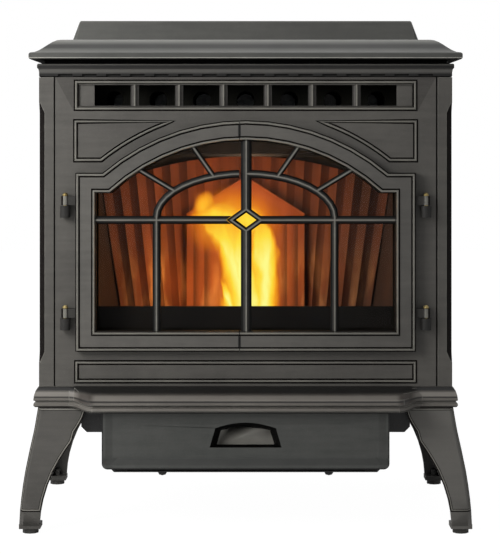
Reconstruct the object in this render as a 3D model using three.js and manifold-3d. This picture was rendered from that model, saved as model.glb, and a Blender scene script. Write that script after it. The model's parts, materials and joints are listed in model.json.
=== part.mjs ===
// A free-standing cast iron pellet stove, in millimetres, +Z up. The front faces -Y.
// The stove stands on four splayed legs. Castings cover the firebox, and a sheet steel
// box behind them holds the hopper, the feed screw and the two blowers.

import * as THREE from "three";
import { mergeVertices } from "three/addons/utils/BufferGeometryUtils.js";
import Module from "manifold-3d";

const wasm = await Module();
wasm.setup();

// Clearances and overruns
const clearance = 0.3; // gap between two pieces that touch
const cutOverrun = 6; // how far a cut runs past the face that it opens
const runningGap = 1.2; // gap beside a piece that turns or slides

// Whole stove
const standHeight = 200; // floor to the underside of the base casting
const bodyWidth = 671;
const bodyDepth = 378; // depth of the castings
const castingWall = 10;
const sheetWall = 2;
const plateWall = 4;

// Base casting
const baseHeight = 33;
const baseFlare = 8.5; // how far the base stands out at the sides and the back
const lipReach = 68; // how far the ash lip stands out in front
const lipTipInset = 91.5; // side of the body to the straight front of the ash lip
const lipRootInset = 49.5; // side of the body to where the ash lip leaves the front
const baseHollowDepth = 20;
const baseCornerBlock = 92; // solid corner that takes a leg
const ashOpeningInset = 145.5; // side of the body to the ash opening
const ashOpeningBackGap = 20; // ash opening to the back of the firebox
const ashOpeningFront = 60; // face of the stove to the ash opening

// Legs and levelling feet
const legTopReach = 1.5; // outer corner of a leg beyond the side of the body
const legFrontReach = 6; // outer corner of a leg in front of the face
const legSplay = 28; // how far the foot stands out from the top of the leg
const legTopWidth = 79;
const legKneeWidth = 66;
const legAnkleWidth = 33;
const legWall = 9;
const legCorner = 7; // flat on the outer corner
const legKneeHeight = 146;
const legPadHeight = 9;
const toeHeight = 5;
const toeSize = 34;
const toeInset = 2; // outer corner of the leg to the edge of the toe
const footRadius = 13.2;
const footHeight = 8;
const footStudRadius = 5;
const footStudHeight = 26;

// Front casting, measured on the face of the stove
const faceHeight = 502;
const postWidth = 25; // corner post of a side casting
const postRelief = 1.2; // half of the groove beside a post
const postReliefDepth = 5;
const chamferSize = 9; // stopped chamfer on the outer corner
const chamferBottom = 56; // foot of the face to the chamfer
const chamferTop = 58; // top of the face to the chamfer
const chamferStop = 16;
const beadWidth = 3.4;
const beadHeight = 2.6;
const beadGroove = 8.4; // width of the groove that a bead stands in
const beadGrooveDepth = 1.8;

// Air grille across the top of the front
const grilleInset = 60.5; // side of the body to the grille's bead
const grilleHeight = 43;
const grilleDrop = 8; // top of the face to the grille's bead
const grilleBlank = 29.25; // end of the grille to its first opening
const grilleOpeningHeight = 34;
const grilleOpenings = 7;
const grilleMullion = 13.1;
const grilleRecess = 3;

// Panels on the front
const panelTopDrop = 72; // top of the face to the bead of the upper panels
const panelHeight = 62.5;
const panelInset = 59.5; // side of the body to the bead of the upper panels
const panelArchGap = 18; // bead of an upper panel to the edge of the doors
const lowerPanelInset = 61; // side of the body to the bead of the lower panel
const lowerPanelHeight = 30;
const lowerPanelRise = 8.6; // foot of the face to the bead of the lower panel

// Pair of cast door leaves
const doorInset = 60.5; // side of the body to the edge of the doors
const doorRise = 58; // foot of the face to the foot of the doors
const doorArchRise = 85; // shoulder of the doors to their apex
const doorShoulderInset = 44; // edge of the doors to the start of the arch
const doorTopDrop = 70; // top of the face to the apex of the doors
const doorRail = 33;
const doorThickness = 14;
const doorGap = 2; // face of the stove to the back of a leaf
const doorSeam = -9.9; // middle of the stove to the seam between the leaves
const barWidth = 13;
const barRidge = 2.4;
const barBackInset = 2; // back of a leaf to the back of its bars
const barFrontInset = 1; // front of a leaf to the crest of its bars
const barRoot = 4; // how far a bar runs into the rail
const sideBarInset = 87; // start of the arch to the upright bars
const crossBarDrop = 76.5; // shoulder of the doors to the cross bar
const fanRise = 4.7; // cross bar to the fan's centre
const fanHeight = 70.3; // fan's centre to its top
const spokeWidth = 9;
const lowSpokeAngle = 37; // degrees above the cross bar, seen from the fan's centre
const highSpokeAngle = 69;
const lowSpokeLean = 31; // degrees above level that the spoke itself runs
const highSpokeLean = 55;
const muntinShift = 1; // middle of the stove to the middle upright
const muntinWidth = 17.4;
const diamondHalfWidth = 32;
const diamondHalfHeight = 23;
const diamondBand = 9;

// Door hinges
const pinOutset = 17; // edge of the doors to a hinge pin
const pinStandoff = 9; // face of the stove to a hinge pin
const pinRadius = 3.2;
const pinHeadRadius = 4.6;
const pinHeadHeight = 5;
const fixedKnuckleRadius = 8.4;
const doorKnuckleRadius = 6.5;
const fixedKnuckleHeight = 19;
const doorKnuckleHeight = 14.5;
const hingeTabThickness = 8;
const upperHingeDrop = 72.5; // shoulder of the doors to the foot of the upper hinge
const lowerHingeRise = 34.5;

// Cornice and top
const corniceHeight = 21.7;
const corniceBead = 3; // how far the bead stands out
const notchWidth = 23;
const notchHeight = 4.6;
const notchDepth = 5;
const notchInset = 31.5; // side of the body to the first notch
const notchCount = 16;
const neckHeight = 6;
const neckInset = 8;
const topThickness = 34;
const topSideOverhang = 14.5;
const topFrontOverhang = 22;
const topLipHeight = 9;
const topLipRound = 2;
const ogeeRun = 46;
const hopperInset = 47.5; // side of the body to the hopper mouth
const hopperBackGap = 26; // hopper mouth to the back of the rear box
const hopperGap = 18; // back of the firebox to the hopper mouth
const hopperFlange = 8;

// Hopper lid
const lidHeight = 45;
const lidInset = 27; // side of the body to the foot of the lid
const lidSideSlope = 16.5;
const lidFrontLap = 30; // how far the lid reaches in front of the hopper mouth
const lidBackLap = 18; // how far the lid reaches behind the hopper mouth
const lidFrontSlope = 6;
const lidCornerCut = 9;
const lidWall = 6;
const lidRimWidth = 6;
const gasketHeight = 6;
const gasketWidth = 10;
const lidPinRadius = 4;
const lidPinRise = 8; // top plate to the lid's hinge axis
const lidLugWidth = 20;
const lidLugRadius = 7.4;
const lidLugInset = 108.5; // foot of the lid to a lid hinge
const lidEarWidth = 5;

// Rear box
const rearBoxDepth = 112;
const rearBoxInset = 33.5; // side of the body to the rear box
const rearBoxRise = 4; // foot of the face to the foot of the rear box
const returnWidth = 38; // inner flange on the back of a side casting
const louvreCount = 7;
const louvreWidth = 150;
const louvreHeight = 6;
const louvrePitch = 15;
const louvreRise = 60; // foot of the rear box to the lowest louvre
const louvreInset = 152; // side of the rear box to the middle of a bank of louvres

// Glazed inner door
const innerDoorInset = 12; // edge of the leaves to the edge of the inner door
const innerDoorWall = 10.7;
const faceOpeningInset = 22;
const innerWindowInset = 32;
const glassLap = 6; // how far the glass runs behind the inner door
const glassThickness = 4;
const gasketInset = 19;
const retainerBand = 8;
const retainerThickness = 2.5;

// Firebox
const fireboxInset = 73.5; // side of the body to the firebox
const fireboxFront = 32; // face of the stove to the front of the firebox
const fireboxBackGap = 128; // back of the firebox to the back of the castings
const fireboxTopDrop = 64; // top of the face to the top of the firebox
const fireboxWindowInset = 27;

// Pot carrier, burn pot and igniter
const shelfRise = 97; // foot of the firebox to the shelf
const shelfThickness = 5;
const shelfFront = 62; // face of the stove to the apron
const apronThickness = 4;
const apronRise = 22; // shelf to the top of the apron
const ashSlotGap = 38; // pot to the ash slots
const ashSlotBackGap = 36; // ash slots to the back of the firebox
const ashSlotSide = 42; // ash slots to the side of the firebox
const potWidth = 104;
const potHeight = 46;
const potWall = 4;
const potRim = 10;
const potRimThickness = 3;
const potTaper = 8;
const airHoleRadius = 3;
const airHoleCount = 5;
const airHolePitch = 16;
const airHoleRise = 24; // floor of the pot to its row of air holes
const igniterRadius = 5;
const igniterRise = 12; // floor of the pot to the igniter
const igniterReach = 8; // how far the igniter stands into the pot

// Liners
const linerThickness = 14;
const linerFootInset = 44; // side of the firebox to the foot of the liner
const linerTopInset = 11; // side of the firebox to the top of the liner
const linerTopDrop = 66.7; // top of the firebox to the top of the liner in the middle
const linerArchRadius = 600;
const fluteCount = 17;
const fluteDepth = 8;
const fluteSteps = 4;
const sideLinerThickness = 4;
const sideLinerGap = 2.4;
const shroudHalfWidth = 103;
const shroudGable = 65; // eaves of the shroud to its apex
const shroudTopDrop = 37; // top of the liner in the middle to the apex of the shroud
const shroudThickness = 8;
const shroudLip = 5;
const shroudLipThickness = 4;
const feedMouthWidth = 62;
const feedMouthHeight = 50;
const feedMouthRise = 75; // shelf to the foot of the feed mouth
const baffleThickness = 5;
const baffleDepth = 130;

// Heat exchanger
const exchangerTopGap = 10; // heat exchanger to the top of the face
const exchangerInset = 6; // side of the firebox to the heat exchanger
const exchangerFront = 46; // face of the stove to the front tube sheet
const exchangerBackGap = 28; // heat exchanger to the back of the firebox
const exchangerSheet = 3;
const tubeRadius = 17;
const tubeWall = 2;

// Feed screw, measured along its own axis
const feedAngle = 45; // degrees
const screwBackGap = 78; // low end of the screw to the back of the rear box
const screwLowRise = 84; // foot of the face to the low end of the screw
const screwTubeLength = 172;
const screwTubeRadius = 32;
const screwTubeWall = 2.5;
const screwRadius = 28;
const screwPitch = 42;
const screwTurns = 3.6;
const screwFlight = 3;
const screwShaftRadius = 9;
const screwSteps = 10; // steps in one turn
const feedInletWidth = 56;
const feedInletDepth = 44;
const feedInletRise = 162; // foot of the face to the rim of the inlet
const feedInletBackGap = 86; // middle of the inlet to the back of the rear box
const chuteLength = 68;
const chuteHeight = 60;
const motorBody = 62;
const motorLength = 72;
const motorShaftHole = 20; // depth of the socket for a shaft
const hopperSlopeRise = 325; // foot of the face to the start of the slope

// Exhaust blower
const blowerBackGap = 150; // axis of both blowers to the back of the rear box
const exhaustRise = 74; // foot of the face to the axis
const exhaustRadius = 52; // start of the scroll
const exhaustGrowth = 20; // how much the scroll grows in one turn
const exhaustWidth = 46;
const scrollWall = 3;
const impellerRadius = 44;
const impellerBlades = 8;
const impellerWidth = 26;
const wheelShaftRadius = 4;
const wheelHubRadius = 10;
const wheelHubLength = 18;
const bladeThickness = 1.8;
const inletRadius = 24;
const exhaustOutletHeight = 44;
const exhaustMotorRadius = 36;
const exhaustMotorLength = 56;
const flueRadius = 38;
const flueWall = 2.5;
const flueStub = 100;
const flueFlange = 12;
const flueFlangeThickness = 4;
const probeRadius = 3;
const probeLength = 30;
const probeHeadRadius = 7;
const probeHeadHeight = 6;
const probeReach = 72; // axis of the blower to the probe
const exhaustOutletReach = 100; // axis of the blower to the end of its outlet
const impellerBladeLength = 30;
const smokeDuctWidth = 48;
const smokeDuctMargin = 8; // inlet of the blower to the end of the duct

// Room air blower
const airRise = 92;
const airRadius = 58;
const airGrowth = 18;
const airWidth = 92;
const airWheelRadius = 48;
const airBlades = 16;
const airWheelWidth = 76;
const airMotorRadius = 38;
const airMotorLength = 44;
const airOutletHeight = 46;
const airInletRadius = 40;
const airBladeLength = 13;
const airBladeTilt = 35; // degrees
const riserDepth = 17.4;

// Air intake, controls and inlet
const intakeGap = 8; // motor of the feed screw to the air intake
const intakeRise = 32;
const intakeRadius = 23;
const intakeWall = 2;
const intakeStub = 30;
const controlWidth = 66;
const controlDepth = 92;
const controlHeight = 96;
const controlRise = 175; // foot of the face to the control box
const inletPlugInset = 52; // side of the rear box to the middle of the inlet
const inletPlugRise = 46;
const inletPlugWidth = 28;
const inletPlugHeight = 24;
const inletPlugDepth = 30;
const inletPlugFlange = 5;
const inletPinDepth = 16;
const inletPinPitch = 8;
const inletPinWidth = 2.2;
const inletPinHeight = 5;

// Ash drawer and its housing
const drawerInset = 106; // side of the body to the drawer face
const drawerFaceTop = 3; // underside of the base to the top of the drawer face
const drawerFaceHeight = 89.5;
const drawerFaceThickness = 12;
const drawerFaceFront = 52; // how far the drawer face stands in front of the stove
const drawerCorner = 9;
const drawerDish = 3.2;
const drawerDishRun = 13; // width of the slope into the dish
const drawerRim = 5;
const drawerBoxInset = 24.5; // side of the drawer face to the drawer box
const drawerBoxHeight = 66;
const drawerBackGap = 52; // drawer box to the back of its housing
const drawerBoxRise = 10; // foot of the drawer face to the foot of the drawer box
const pullWidth = 116;
const pullHeight = 40;
const pullShoulder = 31;
const pullRise = 34.5; // foot of the drawer face to the foot of the pull
const pullDepth = 22;
const pullSlope = 9;
const pullCornerInset = 9;
const housingShoulderInset = 67.5; // side of the body to the shoulders of the housing
const housingShoulderDepth = 43;
const housingInset = 115.5; // side of the body to the housing
const housingHeight = 99;
const housingFront = 12; // face of the stove to the shoulders of the housing
const housingMouthReach = 38; // how far the mouth stands in front of the stove
const housingBackGap = 66; // housing to the back of the castings
const housingStep = 9;
const runnerWidth = 26;
const boltHeadRadius = 9;
const boltHeadHeight = 8;
const boltHeadInset = 86; // side of the housing to a bolt head
const boltHeadY = 16; // mouth of the housing to a bolt head

// Shares of the sizes above, chosen by eye on the real casting
const baseRingShares = [
  // height, flare at the sides, reach of the lip
  [1.0, 0.0, 0.1],
  [0.94, 0.25, 0.32],
  [0.8, 0.6, 0.66],
  [0.58, 0.88, 0.88],
  [0.34, 1.0, 0.97],
  [0.29, 0.6, 0.9],
  [0.22, 0.6, 0.9],
  [0.19, 0.95, 0.985],
  [0.09, 1.0, 1.0],
  [0.0, 0.72, 0.97],
];
const legOutlineShares = [
  // height, outward splay
  [0.0, 1.0],
  [0.08, 0.97],
  [0.2, 0.93],
  [0.34, 0.83],
  [0.5, 0.66],
  [0.66, 0.44],
  [0.82, 0.2],
  [1.0, 0.0],
];
const legRingShares = [0, 0.05, 0.12, 0.22, 0.34, 0.46, 0.56, 0.64, 0.7, 0.72, 0.79, 0.84, 0.91, 1];
const potFrontShare = 0.422; // place of the pot in the depth of the firebox
const potDepthShare = 0.3486; // depth of the pot in the depth of the firebox
const blowerShare = 0.4918; // place of the two blowers in half of the body
const legCurve = 2.4; // how fast a leg widens towards its knee
const kneeShare = 0.25; // straight part of the knee
const stopShare = 0.2; // size of the chamfer where it stops
const mitreShare = 0.17; // limit of a mitre at a sharp corner
const boltHeadShares = [
  // radius, height
  [0.6, 0.8],
  [1.0, 0.0],
  [0.5, -0.1],
];
const ogeeSteps = 7;
const archSteps = 14;
const fanSteps = 10;
const roundSides = 18;
const smallSides = 10;
const shaftSides = 12;
const tubeSides = 10;
const knuckleSides = 14;
const ropeSides = 6;
const lipSteps = 5;

// Places that follow from the sizes
const bodyHalf = bodyWidth / 2;
const lipTipWidth = bodyWidth - lipTipInset * 2;
const lipRootWidth = bodyWidth - lipRootInset * 2;
const grilleWidth = bodyWidth - grilleInset * 2;
const grilleOpeningWidth = grilleWidth - grilleBlank * 2;
const panelHalfWidth = bodyHalf - panelInset;
const lowerPanelWidth = bodyWidth - lowerPanelInset * 2;
const notchPitch = (bodyWidth - notchInset * 2 - notchWidth) / (notchCount - 1);
const hopperWidth = bodyWidth - hopperInset * 2;
const lidHalfWidth = bodyHalf - lidInset;
const lidLugReach = lidHalfWidth - lidLugInset;
const rearBoxWidth = bodyWidth - rearBoxInset * 2;
const louvreReach = rearBoxWidth / 2 - louvreInset;
const inletPlugX = rearBoxWidth / 2 - inletPlugInset;
const fireboxWidth = bodyWidth - fireboxInset * 2;
const exchangerWidth = fireboxWidth - exchangerInset * 2;
const linerFootHalfWidth = fireboxWidth / 2 - linerFootInset;
const linerTopHalfWidth = fireboxWidth / 2 - linerTopInset;
const ashOpeningWidth = bodyWidth - ashOpeningInset * 2;
const ashSlotInner = potWidth / 2 + ashSlotGap;
const ashSlotOuter = fireboxWidth / 2 - ashSlotSide;
const drawerWidth = bodyWidth - drawerInset * 2;
const drawerBoxWidth = drawerWidth - drawerBoxInset * 2;
const housingShoulderWidth = bodyWidth - housingShoulderInset * 2;
const housingWidth = bodyWidth - housingInset * 2;
const boltHeadReach = housingWidth / 2 - boltHeadInset;
const exhaustX = -bodyHalf * blowerShare;
const airX = bodyHalf * blowerShare;
const intakeX = motorBody / 2 + intakeGap + intakeRadius;
const faceBottom = standHeight + baseHeight;
const faceTop = faceBottom + faceHeight;
const corniceBottom = faceTop + clearance;
const corniceTop = corniceBottom + corniceHeight;
const topBottom = corniceTop + clearance;
const topUnderside = topBottom + neckHeight;
const topSurface = topUnderside + topThickness;
const rearBoxBack = bodyDepth + rearBoxDepth;
const postInner = bodyHalf - postWidth;
const doorHalfWidth = bodyHalf - doorInset;
const doorShoulderReach = doorHalfWidth - doorShoulderInset;
const sideBarReach = doorShoulderReach - sideBarInset;
const pinReach = doorHalfWidth + pinOutset;
const doorApexHeight = faceHeight - doorRise - doorTopDrop;
const doorShoulderHeight = doorApexHeight - doorArchRise;
const crossBarRise = doorShoulderHeight - crossBarDrop;
const upperHingeRise = doorShoulderHeight - upperHingeDrop;
const doorBottom = faceBottom + doorRise;
const doorShoulder = doorBottom + doorShoulderHeight;
const doorApex = doorBottom + doorApexHeight;
const archRise = doorApex - doorShoulder;
const archRadius = (doorShoulderReach ** 2 + archRise ** 2) / (archRise + archRise);
const archCentre = doorApex - archRadius;
const doorFront = doorGap + doorThickness;
const crossBarHeight = doorBottom + crossBarRise;
const innerDoorFront = castingWall + clearance;
const innerDoorBack = innerDoorFront + innerDoorWall;
const grilleClear = (grilleOpeningWidth - grilleMullion * (grilleOpenings - 1)) / grilleOpenings;
const grillePitch = grilleClear + grilleMullion;
const fireboxBottom = faceBottom + clearance;
const fireboxHeight = faceHeight - fireboxTopDrop;
const fireboxTop = fireboxBottom + fireboxHeight;
const fireboxDepth = bodyDepth - fireboxFront - fireboxBackGap;
const fireboxBack = fireboxFront + fireboxDepth;
const exchangerHeight = fireboxTopDrop - exchangerTopGap;
const exchangerDepth = fireboxBack - exchangerBackGap - exchangerFront;
const potFront = fireboxFront + fireboxDepth * potFrontShare;
const potDepth = fireboxDepth * potDepthShare;
const ashOpeningDepth = fireboxBack - ashOpeningBackGap - ashOpeningFront;
const hopperFront = fireboxBack + hopperGap;
const hopperDepth = rearBoxBack - hopperBackGap - hopperFront;
const lidFront = hopperFront - lidFrontLap;
const lidDepth = hopperFront + hopperDepth + lidBackLap - lidFront;
const screwLowY = rearBoxBack - screwBackGap;
const feedInletY = rearBoxBack - feedInletBackGap;
const exhaustY = rearBoxBack - blowerBackGap;
const airY = exhaustY;
const shelfBottom = fireboxBottom + shelfRise;
const shelfTop = shelfBottom + shelfThickness;
const linerBottom = shelfTop + clearance;
const linerBack = fireboxBack - plateWall - clearance;
const linerFront = linerBack - linerThickness;
const linerTopRise = fireboxTop - linerBottom - linerTopDrop;
const linerChord = Math.sqrt(linerArchRadius ** 2 - linerTopHalfWidth ** 2);
const linerEdgeRise = linerTopRise - linerArchRadius + linerChord;
const shroudApex = linerTopRise - shroudTopDrop;
const shroudEaves = shroudApex - shroudGable;
const drawerFaceUpper = standHeight - drawerFaceTop;
const drawerFaceLower = drawerFaceUpper - drawerFaceHeight;
const lidAxisY = lidFront + lidDepth + lidLugRadius + runningGap;
const lidAxisZ = topSurface + lidPinRise;
const lidHinges = [-lidLugReach, lidLugReach];
const hingeRises = [upperHingeRise, lowerHingeRise];
const doorHinges = [-1, 1].flatMap((side) => hingeRises.map((rise) => [side, rise]));
const gasketBottom = topSurface + clearance + sheetWall + clearance;
const potTop = linerBottom + potRimThickness;
const potBottom = potTop - potHeight;
const igniterZ = potBottom + igniterRise;
const screwLowZ = faceBottom + screwLowRise;
const screwTilt = Math.PI / 2 - (feedAngle * Math.PI) / 180;
const feedInletTop = faceBottom + feedInletRise;
const intakeZ = faceBottom + intakeRise;
const inletZ = faceBottom + inletPlugRise;
const housingTop = standHeight - clearance;
const housingFoot = housingTop - housingHeight;
const housingDepth = bodyDepth - housingBackGap - housingFront;
const housingBack = housingFront + housingDepth;
const drawerBoxDepth = housingBack - drawerBackGap + drawerFaceFront - drawerFaceThickness;
const exhaustBlower = {
  x: exhaustX,
  y: exhaustY,
  z: faceBottom + exhaustRise,
  width: exhaustWidth,
  radius: exhaustRadius,
  growth: exhaustGrowth,
  outlet: exhaustOutletHeight,
  reach: exhaustOutletReach,
  inlet: inletRadius,
  way: 1,
  motorSide: -1,
  wheelRadius: impellerRadius,
  wheelWidth: impellerWidth,
  blades: impellerBlades,
  bladeLength: impellerBladeLength,
  bladeTilt: 0,
  open: true,
  motorRadius: exhaustMotorRadius,
  motorLength: exhaustMotorLength,
};
const airBlower = {
  x: airX,
  y: airY,
  z: faceBottom + airRise,
  width: airWidth,
  radius: airRadius,
  growth: airGrowth,
  outlet: airOutletHeight,
  reach: airY - fireboxBack - clearance - riserDepth - clearance,
  inlet: airInletRadius,
  way: -1,
  motorSide: 1,
  wheelRadius: airWheelRadius,
  wheelWidth: airWheelWidth,
  blades: airBlades,
  bladeLength: airBladeLength,
  bladeTilt: (airBladeTilt * Math.PI) / 180,
  open: false,
  motorRadius: airMotorRadius,
  motorLength: airMotorLength,
};
const exhaustTop = exhaustBlower.z + exhaustRadius + exhaustGrowth;
const flueZ = exhaustTop - exhaustOutletHeight / 2;
const smokeLeft = exhaustX + exhaustWidth / 2 + clearance;
const smokeRight = smokeLeft + smokeDuctWidth;
const airTop = airBlower.z + airRadius + airGrowth;

// Basic solids

function solidFrom(positions, triangles) {
  let volume = 0;
  const corner = (index) => new THREE.Vector3().fromArray(positions, index + index + index);
  for (let i = 0; i < triangles.length; i += 3) {
    const [a, b, c] = [corner(triangles[i]), corner(triangles[i + 1]), corner(triangles[i + 2])];
    volume += a.dot(b.cross(c));
  }
  const order = volume < 0 ? triangles.slice().reverse() : triangles;
  return new wasm.Manifold(
    new wasm.Mesh({
      numProp: 3,
      vertProperties: new Float32Array(positions),
      triVerts: new Uint32Array(order),
    }),
  );
}

function solid(geometry) {
  const bare = geometry.clone();
  bare.deleteAttribute("normal");
  bare.deleteAttribute("uv");
  const merged = mergeVertices(bare);
  const index = Array.from(merged.index.array);
  const triangles = [];
  for (let i = 0; i < index.length; i += 3) {
    const [a, b, c] = index.slice(i, i + 3);
    if (a !== b && b !== c && c !== a) triangles.push(a, b, c);
  }
  return solidFrom(Array.from(merged.attributes.position.array), triangles);
}

function geometryOf(shape) {
  const mesh = shape.getMesh();
  const count = mesh.numProp;
  const positions = new Float32Array((mesh.vertProperties.length / count) * 3);
  for (let i = 0; i < positions.length / 3; i += 1) {
    for (let axis = 0; axis < 3; axis += 1) {
      positions[i * 3 + axis] = mesh.vertProperties[i * count + axis];
    }
  }
  const geometry = new THREE.BufferGeometry();
  geometry.setAttribute("position", new THREE.BufferAttribute(positions, 3));
  geometry.setIndex(new THREE.BufferAttribute(new Uint32Array(mesh.triVerts), 1));
  return geometry;
}

function join(...solids) {
  return solids.reduce((whole, next) => whole.add(next));
}

function cut(body, ...tools) {
  return tools.reduce((rest, tool) => rest.subtract(tool), body);
}

function box(x0, x1, y0, y1, z0, z1) {
  const geometry = new THREE.BoxGeometry(x1 - x0, y1 - y0, z1 - z0);
  return solid(geometry.translate((x0 + x1) / 2, (y0 + y1) / 2, (z0 + z1) / 2));
}

function extruded(outline, depth) {
  const shape = new THREE.Shape(outline.map(([u, v]) => new THREE.Vector2(u, v)));
  return new THREE.ExtrudeGeometry(shape, { depth, bevelEnabled: false });
}

// Outline in X and Z, from front to back
function prismY(outline, y0, y1) {
  return solid(extruded(outline, y1 - y0).rotateX(Math.PI / 2).translate(0, y1, 0));
}

// Outline in X and Y, from z0 to z1
function prismZ(outline, z0, z1) {
  return solid(extruded(outline, z1 - z0).translate(0, 0, z0));
}

// Outline in Y and Z, from x0 to x1
function prismX(outline, x0, x1) {
  const turn = new THREE.Matrix4().set(0, 0, 1, 0, 1, 0, 0, 0, 0, 1, 0, 0, 0, 0, 0, 1);
  return solid(extruded(outline, x1 - x0).applyMatrix4(turn).translate(x0, 0, 0));
}

function rod(radius, length, sides) {
  return new THREE.CylinderGeometry(radius, radius, length, sides).translate(0, length / 2, 0);
}

function rodX(radius, x0, x1, y, z, sides = roundSides) {
  return solid(rod(radius, x1 - x0, sides).rotateZ(-Math.PI / 2).translate(x0, y, z));
}

function rodY(radius, x, y0, y1, z, sides = roundSides) {
  return solid(rod(radius, y1 - y0, sides).translate(x, y0, z));
}

function rodZ(radius, x, y, z0, z1, sides = roundSides) {
  return solid(rod(radius, z1 - z0, sides).rotateX(Math.PI / 2).translate(x, y, z0));
}

// Profile of radius and height turned about Z
function turned(profile, x, y, z, sides = roundSides) {
  const points = profile.map(([radius, height]) => new THREE.Vector2(radius, height));
  return solid(new THREE.LatheGeometry(points, sides).rotateX(Math.PI / 2).translate(x, y, z));
}

// Joins rings of points into one skin. Open skins get an end face at both ends.
function loft(rings, startOutline, endOutline) {
  const count = rings[0].length;
  const closed = !startOutline;
  const flat = (outline) => outline.map(([u, v]) => new THREE.Vector2(u, v));
  const clockwise = !closed && THREE.ShapeUtils.isClockWise(flat(startOutline));
  const ordered = (points) => (clockwise ? points.slice().reverse() : points);
  const positions = rings.flatMap((ring) => ordered(ring).flat());
  const triangles = [];
  const spans = closed ? rings.length : rings.length - 1;
  for (let i = 0; i < spans; i += 1) {
    const here = i * count;
    const there = ((i + 1) % rings.length) * count;
    for (let j = 0; j < count; j += 1) {
      const k = (j + 1) % count;
      triangles.push(here + j, here + k, there + k, here + j, there + k, there + j);
    }
  }
  if (!closed) {
    const last = (rings.length - 1) * count;
    for (const [a, b, c] of THREE.ShapeUtils.triangulateShape(flat(ordered(startOutline)), [])) {
      triangles.push(c, b, a);
    }
    for (const [a, b, c] of THREE.ShapeUtils.triangulateShape(flat(ordered(endOutline)), [])) {
      triangles.push(last + a, last + b, last + c);
    }
  }
  return solidFrom(positions, triangles);
}

// Level outlines of X and Y, one above another: each entry is [height, outline]
function stack(levels) {
  const rings = levels.map(([height, outline]) => outline.map(([x, y]) => [x, y, height]));
  return loft(rings, levels[0][1], levels[levels.length - 1][1]);
}

// Where a point of a path lies: along a face, outwards from it and up
function onFront(along, depth, up) {
  return [along, -depth, up];
}

function onLeftSide(along, depth, up) {
  return [-bodyHalf - depth, along, up];
}

// Runs a section of [offset, depth] along a path on a face of the stove. Depth is measured
// outwards from the face, and offset outwards from a path that turns left.
function moulding(path, section, closed, place = onFront) {
  const count = path.length;
  const side = (i, j) => {
    const along = [path[j][0] - path[i][0], path[j][1] - path[i][1]];
    const length = Math.hypot(...along);
    return [along[1] / length, -along[0] / length];
  };
  const rings = path.map(([x, z], i) => {
    const before = closed || i > 0 ? side((i - 1 + count) % count, i) : side(i, i + 1);
    const after = closed || i < count - 1 ? side(i, (i + 1) % count) : before;
    const mitre = Math.max(1 + before[0] * after[0] + before[1] * after[1], mitreShare);
    const normal = [(before[0] + after[0]) / mitre, (before[1] + after[1]) / mitre];
    return section.map(([offset, depth]) => place(x + offset * normal[0], depth, z + offset * normal[1]));
  });
  return closed ? loft(rings) : loft(rings, section, section);
}

// Outlines

function rectangle(x0, x1, v0, v1) {
  return [[x0, v0], [x1, v0], [x1, v1], [x0, v1]];
}

function arc(centre, radius, from, to, steps) {
  return Array.from({ length: steps + 1 }, (_, i) => {
    const angle = from + ((to - from) * i) / steps;
    return [centre[0] + radius * Math.cos(angle), centre[1] + radius * Math.sin(angle)];
  });
}

// The arched outline of the pair of doors, drawn in by an inset
function archOutline(inset) {
  const half = doorHalfWidth - inset;
  const foot = doorBottom + inset;
  const shoulder = doorShoulder - inset;
  const radius = archRadius - inset;
  const start = Math.asin((shoulder - archCentre) / radius);
  const top = arc([0, archCentre], radius, start, Math.PI - start, archSteps);
  return [[-half, foot], [half, foot], [half, shoulder], ...top, [-half, shoulder]];
}

function beadSection(base) {
  const half = beadWidth / 2;
  const shoulder = base + beadHeight / 2;
  return [
    [-half, base - beadGrooveDepth - clearance],
    [half, base - beadGrooveDepth - clearance],
    [half, shoulder],
    [half / 2, base + beadHeight],
    [-half / 2, base + beadHeight],
    [-half, shoulder],
  ];
}

// A bead that stands in a groove along an outline on a flat at the given depth
function grooveAndBead(body, outline, base, place = onFront) {
  const half = beadGroove / 2;
  const groove = [
    [-half, base + beadHeight],
    [-half, base],
    [-beadWidth / 2, base - beadGrooveDepth],
    [beadWidth / 2, base - beadGrooveDepth],
    [half, base],
    [half, base + beadHeight],
  ];
  const grooved = cut(body, moulding(outline, groove, true, place));
  return join(grooved, moulding(outline, beadSection(base), true, place));
}

// Base casting with the ash lip

function baseOutline(flare, reach) {
  const side = bodyHalf + flare;
  const root = lipRootWidth / 2;
  const tip = lipTipWidth / 2;
  const curve = Array.from({ length: lipSteps + 1 }, (_, i) => {
    const share = i / lipSteps;
    const rise = (1 - Math.cos(Math.PI * share)) / 2;
    return [root - (root - tip) * share, -flare - (reach - flare) * rise];
  });
  const left = curve.map(([x, y]) => [-x, y]);
  const right = curve.slice().reverse();
  const back = bodyDepth + flare;
  return [[-side, -flare], ...left, ...right, [side, -flare], [side, back], [-side, back]];
}

function baseCasting() {
  const levels = baseRingShares.map(([height, flare, reach]) => [
    standHeight + baseHeight * height,
    baseOutline(baseFlare * flare, lipReach * reach),
  ]);
  const top = standHeight + baseHollowDepth;
  const bottom = standHeight - cutOverrun;
  const inner = bodyHalf - baseCornerBlock;
  const side = bodyHalf - castingWall;
  const hollowLong = box(-inner, inner, castingWall, bodyDepth - castingWall, bottom, top);
  const hollowWide = box(-side, side, baseCornerBlock, bodyDepth - baseCornerBlock, bottom, top);
  const opening = box(
    -ashOpeningWidth / 2,
    ashOpeningWidth / 2,
    ashOpeningFront,
    ashOpeningFront + ashOpeningDepth,
    bottom,
    faceBottom + cutOverrun,
  );
  return cut(stack(levels), hollowLong, hollowWide, opening);
}

// Legs: an angle section that splays to both sides, with a knee on its inner edge

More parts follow.
